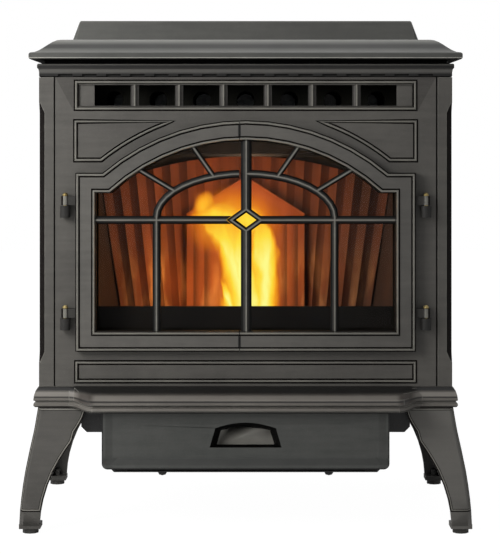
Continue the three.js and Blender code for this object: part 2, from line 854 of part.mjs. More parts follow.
function legWidthAt(height) {
  const kneeTop = legKneeHeight + (standHeight - legKneeHeight) * kneeShare;
  if (height >= kneeTop) {
    const share = (height - kneeTop) / (standHeight - kneeTop);
    return legKneeWidth + (legTopWidth - legKneeWidth) * Math.sin((share * Math.PI) / 2);
  }
  if (height >= legKneeHeight) return legKneeWidth;
  const share = height / legKneeHeight;
  return legAnkleWidth + (legKneeWidth - legAnkleWidth) * share ** legCurve;
}

function legSplayAt(height) {
  const share = height / standHeight;
  const next = legOutlineShares.findIndex(([at]) => at >= share);
  const [h0, s0] = legOutlineShares[Math.max(next - 1, 0)];
  const [h1, s1] = legOutlineShares[next];
  const blend = h1 > h0 ? (share - h0) / (h1 - h0) : 0;
  return legSplay * (s0 + (s1 - s0) * blend);
}

// Drawn with the outer corner to -X and -Y, at its real place under the front left corner
function legSolid() {
  const foot = footHeight + clearance + toeHeight;
  const levels = legRingShares.map((share) => {
    const height = foot + (standHeight - clearance - foot) * share;
    const out = legTopReach + legSplayAt(height);
    const width = legWidthAt(height);
    const x = -bodyHalf - out;
    const y = -legFrontReach - legSplayAt(height);
    return [
      height,
      [
        [x + legCorner, y],
        [x + width, y],
        [x + width, y + legWall],
        [x + legWall, y + legWall],
        [x + legWall, y + width],
        [x, y + width],
        [x, y + legCorner],
      ],
    ];
  });
  const top = standHeight - clearance;
  const x = -bodyHalf - legTopReach;
  const y = -legFrontReach;
  const padSize = legTopWidth - legWall - legWall;
  const pad = prismZ(
    [
      [x + legWall / 2, y + legWall / 2],
      [x + padSize, y + legWall / 2],
      [x + padSize, y + legWall + legWall],
      [x + legWall + legWall, y + padSize],
      [x + legWall / 2, y + padSize],
    ],
    top - legPadHeight,
    top,
  );
  const toeX = -bodyHalf - legTopReach - legSplay + toeInset / 2;
  const toeY = -legFrontReach - legSplay + toeInset / 2;
  const toeTop = footHeight + clearance + toeHeight;
  const toeBottom = footHeight + clearance;
  const toe = box(toeX, toeX + toeSize, toeY, toeY + toeSize, toeBottom, toeTop + toeHeight / 2);
  const stud = rodZ(
    footStudRadius + clearance,
    toeX + toeSize / 2,
    toeY + toeSize / 2,
    0,
    footStudHeight + clearance,
    smallSides,
  );
  return cut(join(stack(levels), pad, toe), stud);
}

function footSolid() {
  const profile = [
    [0, 0],
    [footRadius, 0],
    [footRadius, footHeight - clearance],
    [footRadius - clearance, footHeight],
    [footStudRadius, footHeight],
    [footStudRadius, footStudHeight],
    [0, footStudHeight],
  ];
  const x = -bodyHalf - legTopReach - legSplay + toeInset / 2 + toeSize / 2;
  const y = -legFrontReach - legSplay + toeInset / 2 + toeSize / 2;
  return turned(profile, x, y, 0, smallSides);
}

// Side castings: a plate with a corner post in front and a flange behind

function sideCasting() {
  const outer = -bodyHalf;
  const plate = box(outer, outer + castingWall, 0, bodyDepth, faceBottom + clearance, faceTop);
  const post = box(outer, outer + postWidth, 0, postWidth, faceBottom + clearance, faceTop);
  const flangeFront = bodyDepth - castingWall;
  const flange = box(outer, outer + returnWidth, flangeFront, bodyDepth, faceBottom + clearance, faceTop);
  const size = (share, height) => {
    const reach = chamferSize * share;
    return [height, [[outer - reach, 0], [outer, -reach], [outer + reach, 0], [outer, reach]]];
  };
  const low = faceBottom + chamferBottom;
  const high = faceTop - chamferTop;
  const chamfer = stack([
    size(stopShare, low - chamferStop),
    size(1, low),
    size(1, high),
    size(stopShare, high + chamferStop),
  ]);
  const relief = prismZ(
    [
      [outer + postWidth - postRelief, -cutOverrun],
      [outer + postWidth + cutOverrun, -cutOverrun],
      [outer + postWidth + cutOverrun, postReliefDepth],
      [outer + postWidth, postReliefDepth],
      [outer + postWidth - postRelief, 0],
    ],
    faceBottom - cutOverrun,
    faceTop + cutOverrun,
  );
  const margin = postWidth + castingWall;
  const panel = rectangle(margin, bodyDepth - margin, faceBottom + margin, faceTop - margin);
  const body = cut(join(plate, post, flange), chamfer, relief);
  return grooveAndBead(body, panel, 0, onLeftSide);
}

// Front casting

function upperPanelOutline() {
  const radius = archRadius + panelArchGap;
  const top = faceTop - panelTopDrop;
  const bottom = top - panelHeight;
  const from = Math.PI - Math.asin((bottom - archCentre) / radius);
  const to = Math.PI - Math.asin((top - archCentre) / radius);
  const curve = arc([0, archCentre], radius, from, to, fanSteps);
  return [[-panelHalfWidth, top], [-panelHalfWidth, bottom], ...curve];
}

function astragal(width, back, front) {
  const half = width / 2;
  const side = back + (front - back) / 2;
  const step = half / 3;
  return [
    [-half, back],
    [half, back],
    [half, side],
    [step, side + (front - side) / 2],
    [barRidge / 2, front],
    [-barRidge / 2, front],
    [-step, side + (front - side) / 2],
    [-half, side],
  ];
}

function grilleCut(body) {
  const top = faceTop - grilleDrop;
  const bottom = top - grilleHeight;
  const middle = (top + bottom) / 2;
  const low = middle - grilleOpeningHeight / 2;
  const high = middle + grilleOpeningHeight / 2;
  const recessHalf = grilleWidth / 2 - beadGroove / 2;
  const recess = box(-recessHalf, recessHalf, -cutOverrun, grilleRecess, low, high);
  const openings = Array.from({ length: grilleOpenings }, (_, i) => {
    const left = -grilleOpeningWidth / 2 + i * grillePitch;
    return box(left, left + grilleClear, -cutOverrun, castingWall + cutOverrun, low, high);
  });
  const mullions = Array.from({ length: grilleOpenings - 1 }, (_, i) => {
    const x = -grilleOpeningWidth / 2 + (i + 1) * grillePitch - grilleMullion / 2;
    const section = astragal(grilleMullion, -castingWall, beadHeight / 2);
    return moulding([[x, low - clearance], [x, high + clearance]], section, false);
  });
  const opened = cut(body, recess, ...openings);
  const framed = grooveAndBead(opened, rectangle(-grilleWidth / 2, grilleWidth / 2, bottom, top), 0);
  return join(framed, ...mullions);
}

function fixedKnuckle(side, rise) {
  const x = side * pinReach;
  const bottom = doorBottom + rise;
  const top = bottom + fixedKnuckleHeight;
  const barrel = rodZ(fixedKnuckleRadius, x, -pinStandoff, bottom, top, knuckleSides);
  const half = fixedKnuckleRadius * Math.SQRT1_2;
  const lug = box(x - half, x + half, -pinStandoff, postReliefDepth, bottom, top);
  return join(barrel, lug);
}

function pinHole(side, rise) {
  const bottom = doorBottom + rise;
  const top = bottom + fixedKnuckleHeight;
  const hole = pinRadius + clearance;
  return rodZ(hole, side * pinReach, -pinStandoff, bottom - cutOverrun, top + cutOverrun, smallSides);
}

function frontCasting() {
  const half = postInner - clearance;
  const face = prismZ(
    [
      [-half, castingWall],
      [-half, postReliefDepth],
      [-half + postRelief, 0],
      [half - postRelief, 0],
      [half, postReliefDepth],
      [half, castingWall],
    ],
    faceBottom + clearance,
    faceTop,
  );
  const opening = prismY(archOutline(faceOpeningInset), -cutOverrun, castingWall + cutOverrun);
  const upper = upperPanelOutline();
  const mirrored = upper.map(([x, z]) => [-x, z]).reverse();
  const lowerPanel = rectangle(
    -lowerPanelWidth / 2,
    lowerPanelWidth / 2,
    faceBottom + lowerPanelRise,
    faceBottom + lowerPanelRise + lowerPanelHeight,
  );
  let body = cut(face, opening);
  body = [upper, mirrored, lowerPanel].reduce((shape, outline) => grooveAndBead(shape, outline, 0), body);
  body = grilleCut(body);
  body = join(body, ...doorHinges.map(([side, rise]) => fixedKnuckle(side, rise)));
  return cut(body, ...doorHinges.map(([side, rise]) => pinHole(side, rise)));
}

// Cornice over the front and the sides, with its row of notches

function ringOutline(out) {
  return rectangle(-bodyHalf - out, bodyHalf + out, -out, bodyDepth + out);
}

function cornice() {
  const bead = corniceTop - corniceHeight / 3;
  const cove = corniceBottom + corniceHeight / 3;
  const outer = stack([
    [corniceBottom, ringOutline(-postRelief)],
    [corniceBottom + postRelief, ringOutline(0)],
    [cove, ringOutline(0)],
    [bead - corniceBead / 2, ringOutline(corniceBead / 3)],
    [bead, ringOutline(corniceBead)],
    [corniceTop - corniceBead / 2, ringOutline(corniceBead)],
    [corniceTop, ringOutline(corniceBead / 2)],
  ]);
  const innerHalf = bodyHalf - castingWall;
  const innerBack = bodyDepth + corniceBead + cutOverrun;
  const innerBottom = corniceBottom - cutOverrun;
  const inner = box(-innerHalf, innerHalf, castingWall, innerBack, innerBottom, corniceTop + cutOverrun);
  const first = (-notchPitch * (notchCount - 1)) / 2;
  const notches = Array.from({ length: notchCount }, (_, i) => {
    const x = first + notchPitch * i;
    const bottom = corniceBottom - cutOverrun;
    const top = corniceBottom + notchHeight;
    return box(x - notchWidth / 2, x + notchWidth / 2, -cutOverrun, notchDepth, bottom, top);
  });
  return cut(outer, inner, ...notches);
}

// Top plate: an ogee edge on the front and the sides

function topOutline(inset) {
  const half = bodyHalf + topSideOverhang - inset;
  return rectangle(-half, half, inset - topFrontOverhang, rearBoxBack + topLipHeight);
}

function topPlate() {
  const lipTop = topUnderside + topLipHeight;
  const ogeeRise = topSurface - lipTop - topLipRound;
  const ogee = Array.from({ length: ogeeSteps }, (_, i) => {
    const share = (i + 1) / ogeeSteps;
    const rise = (1 - Math.cos(Math.PI * share)) / 2;
    return [lipTop + topLipRound + ogeeRise * rise, topOutline(topLipRound + ogeeRun * share)];
  });
  const plate = stack([
    [topUnderside, topOutline(topLipRound)],
    [topUnderside + topLipRound, topOutline(0)],
    [lipTop, topOutline(0)],
    [lipTop + topLipRound, topOutline(topLipRound)],
    ...ogee,
  ]);
  const neckHalf = bodyHalf - neckInset;
  const neckTop = topUnderside + topLipRound;
  const neck = box(-neckHalf, neckHalf, neckInset, bodyDepth - neckInset, topBottom, neckTop);
  const mouthHalf = hopperWidth / 2 + clearance;
  const mouth = box(
    -mouthHalf,
    mouthHalf,
    hopperFront - clearance,
    hopperFront + hopperDepth + clearance,
    topBottom - cutOverrun,
    topSurface + cutOverrun,
  );
  const hollowInset = topLipRound + ogeeRun;
  const hollowHalf = bodyHalf + topSideOverhang - hollowInset;
  const hollow = box(
    -hollowHalf,
    hollowHalf,
    hollowInset - topFrontOverhang,
    hopperFront - castingWall - castingWall,
    topBottom - cutOverrun,
    topSurface - castingWall,
  );
  const ears = lidHinges.flatMap((x) => lidEars(x));
  return join(cut(join(plate, neck), mouth, hollow), ...ears);
}

// Hopper lid and its hinges

function lidEars(x) {
  const half = lidLugWidth / 2 + runningGap;
  const crown = arc([lidAxisY, lidAxisZ], lidLugRadius, 0, Math.PI, smallSides / 2);
  const bottom = topSurface - topLipRound;
  const outline = [[lidAxisY - lidLugRadius, bottom], [lidAxisY + lidLugRadius, bottom], ...crown];
  const [x0, x1] = [x - lidLugWidth, x + lidLugWidth];
  const hole = rodX(lidPinRadius + clearance, x0, x1, lidAxisY, lidAxisZ, smallSides);
  const left = prismX(outline, x - half - lidEarWidth, x - half);
  const right = prismX(outline, x + half, x + half + lidEarWidth);
  return [cut(left, hole), cut(right, hole)];
}

function lidOutline(slopeShare, wall) {
  const half = lidHalfWidth - lidSideSlope * slopeShare - wall;
  const front = lidFront + lidFrontSlope * slopeShare + wall;
  const back = lidFront + lidDepth - lidFrontSlope * slopeShare - wall;
  const corner = lidCornerCut * (1 - slopeShare) + clearance;
  return [
    [-half + corner, front],
    [half - corner, front],
    [half, front + corner],
    [half, back],
    [-half, back],
    [-half, front + corner],
  ];
}

function hopperLid() {
  const bottom = topSurface + clearance;
  const top = bottom + lidHeight;
  const round = lidWall / 3;
  const outer = stack([
    [bottom, lidOutline(0, 0)],
    [top - round, lidOutline(1, 0)],
    [top, lidOutline(1, round)],
  ]);
  const inner = stack([
    [bottom - cutOverrun, lidOutline(0, lidWall)],
    [bottom, lidOutline(0, lidWall)],
    [top - lidWall, lidOutline(1, lidWall)],
  ]);
  const half = hopperWidth / 2;
  const back = hopperFront + hopperDepth;
  const seat = gasketBottom + gasketHeight + clearance;
  const rimTop = top - lidWall / 2;
  const rimOuter = box(-half, half, hopperFront, back, seat, rimTop);
  const rimInner = box(
    -half + lidRimWidth,
    half - lidRimWidth,
    hopperFront + lidRimWidth,
    back - lidRimWidth,
    seat - cutOverrun,
    top - lidWall,
  );
  const lidBack = lidFront + lidDepth;
  const lugs = lidHinges.map((x) => {
    const [x0, x1] = [x - lidLugWidth / 2, x + lidLugWidth / 2];
    const barrel = rodX(lidLugRadius, x0, x1, lidAxisY, lidAxisZ, roundSides);
    const web = box(x0, x1, lidBack - lidWall, lidAxisY, lidAxisZ, lidAxisZ + lidLugRadius);
    const [h0, h1] = [x - lidLugWidth, x + lidLugWidth];
    const hole = rodX(lidPinRadius + clearance, h0, h1, lidAxisY, lidAxisZ, smallSides);
    return cut(join(barrel, web), hole);
  });
  return join(cut(outer, inner), cut(rimOuter, rimInner), ...lugs);
}

function lidGasket() {
  const half = hopperWidth / 2 - lidRimWidth / 2;
  const front = hopperFront + lidRimWidth / 2;
  const back = hopperFront + hopperDepth - lidRimWidth / 2;
  const wide = gasketWidth / 2;
  const top = gasketBottom + gasketHeight;
  const outer = box(-half - wide, half + wide, front - wide, back + wide, gasketBottom, top);
  const bottom = gasketBottom - cutOverrun;
  const inner = box(-half + wide, half - wide, front + wide, back - wide, bottom, top + cutOverrun);
  return cut(outer, inner);
}

function lidPin() {
  const reach = lidLugWidth / 2 + runningGap + lidEarWidth;
  return rodX(lidPinRadius, -reach, reach, 0, 0, smallSides);
}

// Door leaves

function doorBar(path, width) {
  return moulding(path, astragal(width, doorGap + barBackInset, doorFront - barFrontInset), false);
}

// Where a line from a point along a direction meets the middle of the arched rail
function railPoint([x, z], [alongX, alongZ]) {
  const radius = archRadius - doorRail / 2;
  const dz = z - archCentre;
  const along = x * alongX + dz * alongZ;
  const reach = -along + Math.sqrt(along ** 2 - (x ** 2 + dz ** 2 - radius ** 2));
  return [x + alongX * reach, z + alongZ * reach];
}

// A point of the elliptical fan at an angle above its centre
function fanPoint(side, turn) {
  return [side * sideBarReach * Math.cos(turn), crossBarHeight + fanRise + fanHeight * Math.sin(turn)];
}

function spoke(side, angle, lean) {
  const slope = (lean * Math.PI) / 180;
  const start = fanPoint(side, (angle * Math.PI) / 180);
  const end = railPoint(start, [side * Math.cos(slope), Math.sin(slope)]);
  return doorBar([start, end], spokeWidth);
}

// Bars of one leaf on its own side of the middle: -1 is left, 1 is right
function leafBars(side) {
  const rail = side * (doorHalfWidth - doorRail / 2);
  const foot = doorBottom + doorRail / 2;
  const upright = side * sideBarReach;
  const quarter = Math.PI / 2;
  const fan = Array.from({ length: fanSteps + 1 }, (_, i) => fanPoint(side, (quarter * i) / fanSteps));
  const bars = join(
    doorBar([[rail, crossBarHeight], [muntinShift, crossBarHeight]], barWidth),
    doorBar([[upright, foot], [upright, crossBarHeight + barWidth / 2]], barWidth),
    doorBar([[upright, crossBarHeight - barWidth / 2], ...fan], barWidth),
    spoke(side, lowSpokeAngle, lowSpokeLean),
    spoke(side, highSpokeAngle, highSpokeLean),
  );
  const gap = side < 0 ? runningGap / 2 : -diamondBand / 2;
  const front = -doorFront - cutOverrun;
  return cut(bars, prismY(diamondOutline(-gap), front, cutOverrun));
}

function diamondOutline(band) {
  const edge = Math.hypot(diamondHalfWidth, diamondHalfHeight);
  const share = 1 - (band * edge) / (diamondHalfWidth * diamondHalfHeight);
  const [half, rise] = [diamondHalfWidth * share, diamondHalfHeight * share];
  return [
    [muntinShift - half, crossBarHeight],
    [muntinShift, crossBarHeight - rise],
    [muntinShift + half, crossBarHeight],
    [muntinShift, crossBarHeight + rise],
  ];
}

function muntinWithDiamond() {
  const foot = doorBottom + doorRail / 2;
  const muntin = doorBar([[muntinShift, foot], [muntinShift, doorApex - doorRail / 2]], muntinWidth);
  const middle = diamondOutline(diamondBand / 2);
  const section = astragal(diamondBand, doorGap + barBackInset, doorFront - barFrontInset);
  const window = prismY(middle, -doorFront - cutOverrun, cutOverrun);
  return join(cut(muntin, window), moulding(middle, section, true));
}

function doorKnuckle(side, rise) {
  const x = side * pinReach;
  const bottom = doorBottom + rise + fixedKnuckleHeight + runningGap;
  const top = bottom + doorKnuckleHeight;
  const barrel = rodZ(doorKnuckleRadius, x, -pinStandoff, bottom, top, knuckleSides);
  const half = hingeTabThickness / 2;
  const reach = side * (doorHalfWidth - beadGroove);
  const [x0, x1] = [Math.min(x, reach), Math.max(x, reach)];
  const tab = box(x0, x1, -pinStandoff - half, -pinStandoff + half, bottom, top);
  const [z0, z1] = [bottom - cutOverrun, top + cutOverrun];
  const hole = rodZ(pinRadius + clearance, x, -pinStandoff, z0, z1, smallSides);
  return cut(join(barrel, tab), hole);
}

function doorLeaf(side) {
  const window = prismY(archOutline(doorRail), -doorFront - cutOverrun, cutOverrun);
  let frame = cut(prismY(archOutline(0), -doorFront, -doorGap), window);
  frame = grooveAndBead(frame, archOutline(beadWidth), doorFront);
  frame = grooveAndBead(frame, archOutline(doorRail - beadWidth), doorFront);
  const seam = doorSeam + (side * runningGap) / 2;
  const edge = side * (doorHalfWidth + cutOverrun);
  const [x0, x1] = [Math.min(seam, edge), Math.max(seam, edge)];
  const front = -doorFront - beadHeight - cutOverrun;
  const room = box(x0, x1, front, 0, doorBottom - cutOverrun, doorApex + cutOverrun);
  const reach = prismY(archOutline(doorRail - barRoot), -doorFront, 0);
  const bars = leafBars(side).intersect(reach);
  const half = join(frame.intersect(room), bars.intersect(room));
  const leaf = side > 0 ? join(half, muntinWithDiamond().intersect(reach)) : half;
  const knuckles = [upperHingeRise, lowerHingeRise].map((rise) => doorKnuckle(side, rise));
  return join(leaf, ...knuckles);
}

function hingePin() {
  const bottom = clearance;
  const seat = fixedKnuckleHeight + runningGap + doorKnuckleHeight + clearance;
  const profile = [
    [0, bottom],
    [pinRadius, bottom],
    [pinRadius, seat],
    [pinHeadRadius, seat],
    [pinHeadRadius, seat + pinHeadHeight / 2],
    [pinHeadRadius / 2, seat + pinHeadHeight],
    [0, seat + pinHeadHeight],
  ];
  return turned(profile, 0, 0, 0, smallSides);
}

// Glazed inner door

function innerWindow(grow) {
  return archOutline(innerWindowInset - grow);
}

function innerDoor() {
  const frame = prismY(archOutline(innerDoorInset), innerDoorFront, innerDoorBack);
  return cut(frame, prismY(innerWindow(0), 0, innerDoorBack + cutOverrun));
}

function doorGlass() {
  const front = innerDoorBack + clearance;
  return prismY(innerWindow(glassLap), front, front + glassThickness);
}

function glassRetainer() {
  const front = innerDoorBack + clearance + glassThickness + clearance;
  const back = front + retainerThickness;
  const outer = prismY(innerWindow(glassLap), front, back);
  return cut(outer, prismY(innerWindow(glassLap - retainerBand), front - cutOverrun, back + cutOverrun));
}

function doorGasket() {
  const radius = (fireboxFront - innerDoorBack) / 2 - clearance;
  const depth = -(innerDoorBack + fireboxFront) / 2;
  const section = arc([0, depth], radius, 0, Math.PI + Math.PI, ropeSides).slice(1);
  return moulding(archOutline(gasketInset), section, true);
}

// Firebox and what stands in it

function feedMouth(y0, y1) {
  const bottom = shelfTop + feedMouthRise;
  return box(-feedMouthWidth / 2, feedMouthWidth / 2, y0, y1, bottom, bottom + feedMouthHeight);
}

function firebox() {
  const half = fireboxWidth / 2;
  const outer = box(-half, half, fireboxFront, fireboxBack, fireboxBottom, fireboxTop);
  const inner = box(
    -half + plateWall,
    half - plateWall,
    fireboxFront + plateWall,
    fireboxBack - plateWall,
    fireboxBottom + plateWall,
    fireboxTop - plateWall,
  );
  const frontPlate = [fireboxFront - cutOverrun, fireboxFront + plateWall + cutOverrun];
  const window = prismY(archOutline(fireboxWindowInset), ...frontPlate);
  const ash = box(
    -ashOpeningWidth / 2,
    ashOpeningWidth / 2,
    ashOpeningFront,
    ashOpeningFront + ashOpeningDepth,
    fireboxBottom - cutOverrun,
    fireboxBottom + plateWall + cutOverrun,
  );
  const mouth = feedMouth(fireboxBack - plateWall - cutOverrun, fireboxBack + cutOverrun);
  const backY = [fireboxBack - plateWall - cutOverrun, fireboxBack + cutOverrun];
  const smoke = box(
    smokeLeft + sheetWall,
    smokeRight - sheetWall,
    ...backY,
    exhaustBlower.z - inletRadius,
    exhaustBlower.z + inletRadius,
  );
  const intake = rodY(intakeRadius - intakeWall, intakeX, ...backY, intakeZ);
  return cut(outer, inner, window, ash, mouth, smoke, intake);
}

function potCarrier() {
  const half = fireboxWidth / 2 - plateWall - clearance;
  const back = fireboxBack - plateWall - clearance;
  const floor = fireboxBottom + plateWall + clearance;
  const shelf = box(-half, half, shelfFront, back, shelfBottom, shelfTop);
  const apron = box(-half, half, shelfFront, shelfFront + apronThickness, floor, shelfTop + apronRise);
  const holeHalf = potWidth / 2 + clearance;
  const hole = box(
    -holeHalf,
    holeHalf,
    potFront - clearance,
    potFront + potDepth + clearance,
    shelfBottom - cutOverrun,
    shelfTop + cutOverrun,
  );
  const slots = [-1, 1].map((side) => {
    const [x0, x1] = side < 0 ? [-ashSlotOuter, -ashSlotInner] : [ashSlotInner, ashSlotOuter];
    const front = potFront - potRim;
    return box(
      x0,
      x1,
      front,
      fireboxBack - ashSlotBackGap,
      shelfBottom - cutOverrun,
      shelfTop + cutOverrun,
    );
  });
  return cut(join(shelf, apron), hole, ...slots);
}

function potOutline(inset) {
  const half = potWidth / 2 - inset;
  return rectangle(-half, half, potFront + inset, potFront + potDepth - inset);
}

function burnPot() {
  const [rimBottom, rimTop, bottom] = [linerBottom, potTop, potBottom];
  const mouth = potOutline(0);
  const bowl = stack([[bottom, potOutline(potTaper)], [rimBottom, mouth], [rimTop, mouth]]);
  const rim = prismZ(potOutline(-potRim), rimBottom, rimTop);
  const hollow = stack([
    [bottom + potWall, potOutline(potTaper + potWall)],
    [rimBottom, potOutline(potWall)],
    [rimTop + cutOverrun, potOutline(potWall)],
  ]);
  const first = (-airHolePitch * (airHoleCount - 1)) / 2;
  const air = Array.from({ length: airHoleCount }, (_, i) => {
    const x = first + airHolePitch * i;
    const [y0, y1] = [potFront - cutOverrun, potFront + potDepth / 2];
    return rodY(airHoleRadius, x, y0, y1, bottom + airHoleRise, smallSides / 2);
  });
  const floorHoles = Array.from({ length: airHoleCount }, (_, i) => {
    const x = first + airHolePitch * i;
    const y = potFront + potDepth / 2;
    return rodZ(airHoleRadius, x, y, bottom - cutOverrun, bottom + potWall + cutOverrun, smallSides / 2);
  });
  const back = potFront + potDepth;
  const holeFront = back - potDepth / 2;
  const holeBack = back + cutOverrun;
  const igniterHole = rodY(igniterRadius + clearance, 0, holeFront, holeBack, igniterZ, smallSides);
  return cut(join(bowl, rim), hollow, ...air, ...floorHoles, igniterHole);
}

function igniter() {
  const tip = potFront + potDepth - potTaper - igniterReach;
  return rodY(igniterRadius, 0, tip, fireboxBack - plateWall - clearance, igniterZ, smallSides);
}

// The fluted back liner fans out upwards under an arched top
function backLiner() {
  const apex = linerBottom + linerTopRise;
  const across = Array.from({ length: fluteCount * fluteSteps + 1 }, (_, i) => {
    const share = i / (fluteCount * fluteSteps);
    const hollow = fluteDepth * Math.sin((Math.PI * (i % fluteSteps)) / fluteSteps);
    return [share + share - 1, linerFront + hollow];
  });
  const behind = Array.from({ length: fluteCount + 1 }, (_, i) => {
    const share = i / fluteCount;
    return [1 - share - share, linerBack];
  });
  const outline = [...across, ...behind];
  const foot = outline.map(([u, y]) => [u * linerFootHalfWidth, y, linerBottom]);
  const top = outline.map(([u, y]) => {
    const x = u * linerTopHalfWidth;
    return [x, y, apex - linerArchRadius + Math.sqrt(linerArchRadius ** 2 - x ** 2)];
  });
  const panel = loft([foot, top], outline, outline);
  return cut(panel, feedMouth(linerFront - cutOverrun, linerBack + cutOverrun));
}

// Drawn on the left; it closes the side between the back liner and the window
function sideLiner() {
  const outer = fireboxWidth / 2 - plateWall - clearance;
  const inner = outer - sideLinerThickness;
  const front = shelfFront + apronThickness + clearance;
  const levels = Array.from({ length: fluteSteps + fluteSteps + 1 }, (_, i) => {
    const share = i / (fluteSteps + fluteSteps);
    const lean = (linerTopHalfWidth - linerFootHalfWidth) * share;
    const back = linerFootHalfWidth + sideLinerGap + lean;
    const outline = [
      [-outer, front],
      [-inner, front],
      [-back, linerBack],
      [-back - sideLinerThickness, linerBack],
    ];
    return [linerBottom + linerEdgeRise * share, outline];
  });
  return stack(levels);
}

function feedShroud() {
  const back = linerFront - clearance;
  const front = back - shroudThickness;
  const eaves = linerBottom + shroudEaves;
  const apex = linerBottom + shroudApex;
  const half = shroudHalfWidth;
  const gable = [[-half, linerBottom], [half, linerBottom], [half, eaves], [0, apex], [-half, eaves]];
  const lipHalf = shroudLipThickness / 2;
  const section = [
    [-lipHalf, -back],
    [lipHalf, -back],
    [lipHalf, -front + shroudLip],
    [-lipHalf, -front + shroudLip],
  ];
  const lip = moulding([[half, eaves], [0, apex], [-half, eaves]], section, false);
  const panel = join(prismY(gable, front, back), lip);
  return cut(panel, feedMouth(front - shroudLip - cutOverrun, back + cutOverrun));
}

function baffle() {
  const half = fireboxWidth / 2 - plateWall - clearance;
  const bottom = linerBottom + linerTopRise + clearance;
  return box(-half, half, linerBack - baffleDepth, linerBack, bottom, bottom + baffleThickness);
}

// Heat exchanger: two tube sheets joined by a row of open tubes

function heatExchanger() {
  const half = exchangerWidth / 2;
  const bottom = fireboxTop + clearance;
  const top = bottom + exchangerHeight;
  const back = exchangerFront + exchangerDepth;
  const middle = (bottom + top) / 2;
  const sheets = [exchangerFront, back - exchangerSheet].map((y) =>
    box(-half, half, y, y + exchangerSheet, bottom, top),
  );
  const middleTube = (grilleOpenings - 1) / 2;
  const places = Array.from({ length: grilleOpenings }, (_, i) => (i - middleTube) * grillePitch);
  const tubes = places.map((x) => rodY(tubeRadius, x, exchangerFront, back, middle, tubeSides));
  const bores = places.map((x) =>
    rodY(tubeRadius - tubeWall, x, exchangerFront - cutOverrun, back + cutOverrun, middle, tubeSides),
  );
  return cut(join(...sheets, ...tubes), ...bores);
}

// Hopper and feed

function hopperOutline(inset) {
  const half = hopperWidth / 2 - inset;
  return rectangle(-half, half, hopperFront + inset, hopperFront + hopperDepth - inset);
}

function inletOutline(inset) {
  const half = feedInletWidth / 2 - inset;
  const reach = feedInletDepth / 2 - inset;
  return rectangle(-half, half, feedInletY - reach, feedInletY + reach);
}

function hopper() {
  const bottom = feedInletTop + clearance;
  const slope = faceBottom + hopperSlopeRise;
  const seat = topSurface + clearance;
  const shell = stack([
    [bottom, inletOutline(0)],
    [slope, hopperOutline(0)],
    [seat + sheetWall, hopperOutline(0)],
  ]);
  const rim = prismZ(hopperOutline(-hopperFlange), seat, seat + sheetWall);
  const hollow = stack([
    [bottom - cutOverrun, inletOutline(sheetWall)],
    [bottom, inletOutline(sheetWall)],
    [slope, hopperOutline(sheetWall)],
    [seat + sheetWall + cutOverrun, hopperOutline(sheetWall)],
  ]);
  return cut(join(shell, rim), hollow);
}

// Puts a solid that was drawn along +Z on the axis of the feed screw
function onScrewAxis(shape) {
  const matrix = new THREE.Matrix4().makeRotationX(screwTilt);
  matrix.setPosition(0, screwLowY, screwLowZ);
  return solid(geometryOf(shape).applyMatrix4(matrix));
}

function feedTube() {
  const tube = onScrewAxis(rodZ(screwTubeRadius, 0, 0, 0, screwTubeLength));
  const boreEnd = screwTubeLength + cutOverrun;
  const bore = onScrewAxis(rodZ(screwTubeRadius - screwTubeWall, 0, 0, screwTubeWall, boreEnd));
  const shaftHole = rodZ(screwShaftRadius + clearance, 0, 0, -cutOverrun, cutOverrun, shaftSides);
  const shaft = onScrewAxis(shaftHole);
  const axisAtInlet = screwLowZ + (screwLowY - feedInletY) * Math.tan((feedAngle * Math.PI) / 180);
  const below = (top) => {
    const reach = screwTubeRadius + feedInletWidth;
    return onScrewAxis(box(-reach, reach, -reach, reach, -reach, top));
  };
  const inlet = cut(prismZ(inletOutline(0), axisAtInlet, feedInletTop), below(0));
  const inletRoom = prismZ(inletOutline(sheetWall), axisAtInlet, feedInletTop + cutOverrun);
  const inletHollow = cut(inletRoom, below(screwTubeWall));
  const half = feedMouthWidth / 2;
  const mouthBottom = shelfTop + feedMouthRise;
  const chuteTop = mouthBottom + chuteHeight;
  const chuteFront = fireboxBack + clearance;
  const chute = box(
    -half - sheetWall,
    half + sheetWall,
    chuteFront,
    chuteFront + chuteLength,
    mouthBottom - sheetWall,
    chuteTop + sheetWall,
  );
  const chuteHollow = box(
    -half,
    half,
    chuteFront - cutOverrun,
    chuteFront + chuteLength - sheetWall,
    mouthBottom,
    chuteTop,
  );
  return cut(join(tube, inlet, chute), bore, shaft, inletHollow, chuteHollow);
}

// Feed screw along +Z, its low end at the origin
function feedScrew() {
  const shaftTop = screwTubeLength - runningGap;
  const shaft = rodZ(screwShaftRadius, 0, 0, -motorShaftHole + runningGap, shaftTop, shaftSides);
  const start = screwTubeWall + runningGap + screwFlight;
  const half = screwFlight / 2;
  const inner = screwShaftRadius / 2;
  const count = Math.round(screwTurns * screwSteps);
  const section = [[inner, -half], [screwRadius, -half], [screwRadius, half], [inner, half]];
  const rings = Array.from({ length: count + 1 }, (_, i) => {
    const turn = (i / screwSteps) * (Math.PI + Math.PI);
    const rise = start + (screwPitch * i) / screwSteps;
    return section.map(([r, z]) => [r * Math.cos(turn), r * Math.sin(turn), rise + z]);
  });
  return join(shaft, loft(rings, section, section));
}

function screwMotor() {
  const half = motorBody / 2;
  const gearbox = box(-half, half, -half, half, -clearance - motorLength / 2, -clearance);
  const canTop = -motorLength / 2;
  const can = rodZ(half - plateWall, 0, 0, -clearance - motorLength, canTop);
  const socket = rodZ(screwShaftRadius + clearance, 0, 0, -motorShaftHole, cutOverrun, shaftSides);
  return cut(join(gearbox, can), socket);
}

// Blowers: a scroll housing, a wheel on its shaft and a motor, all along X

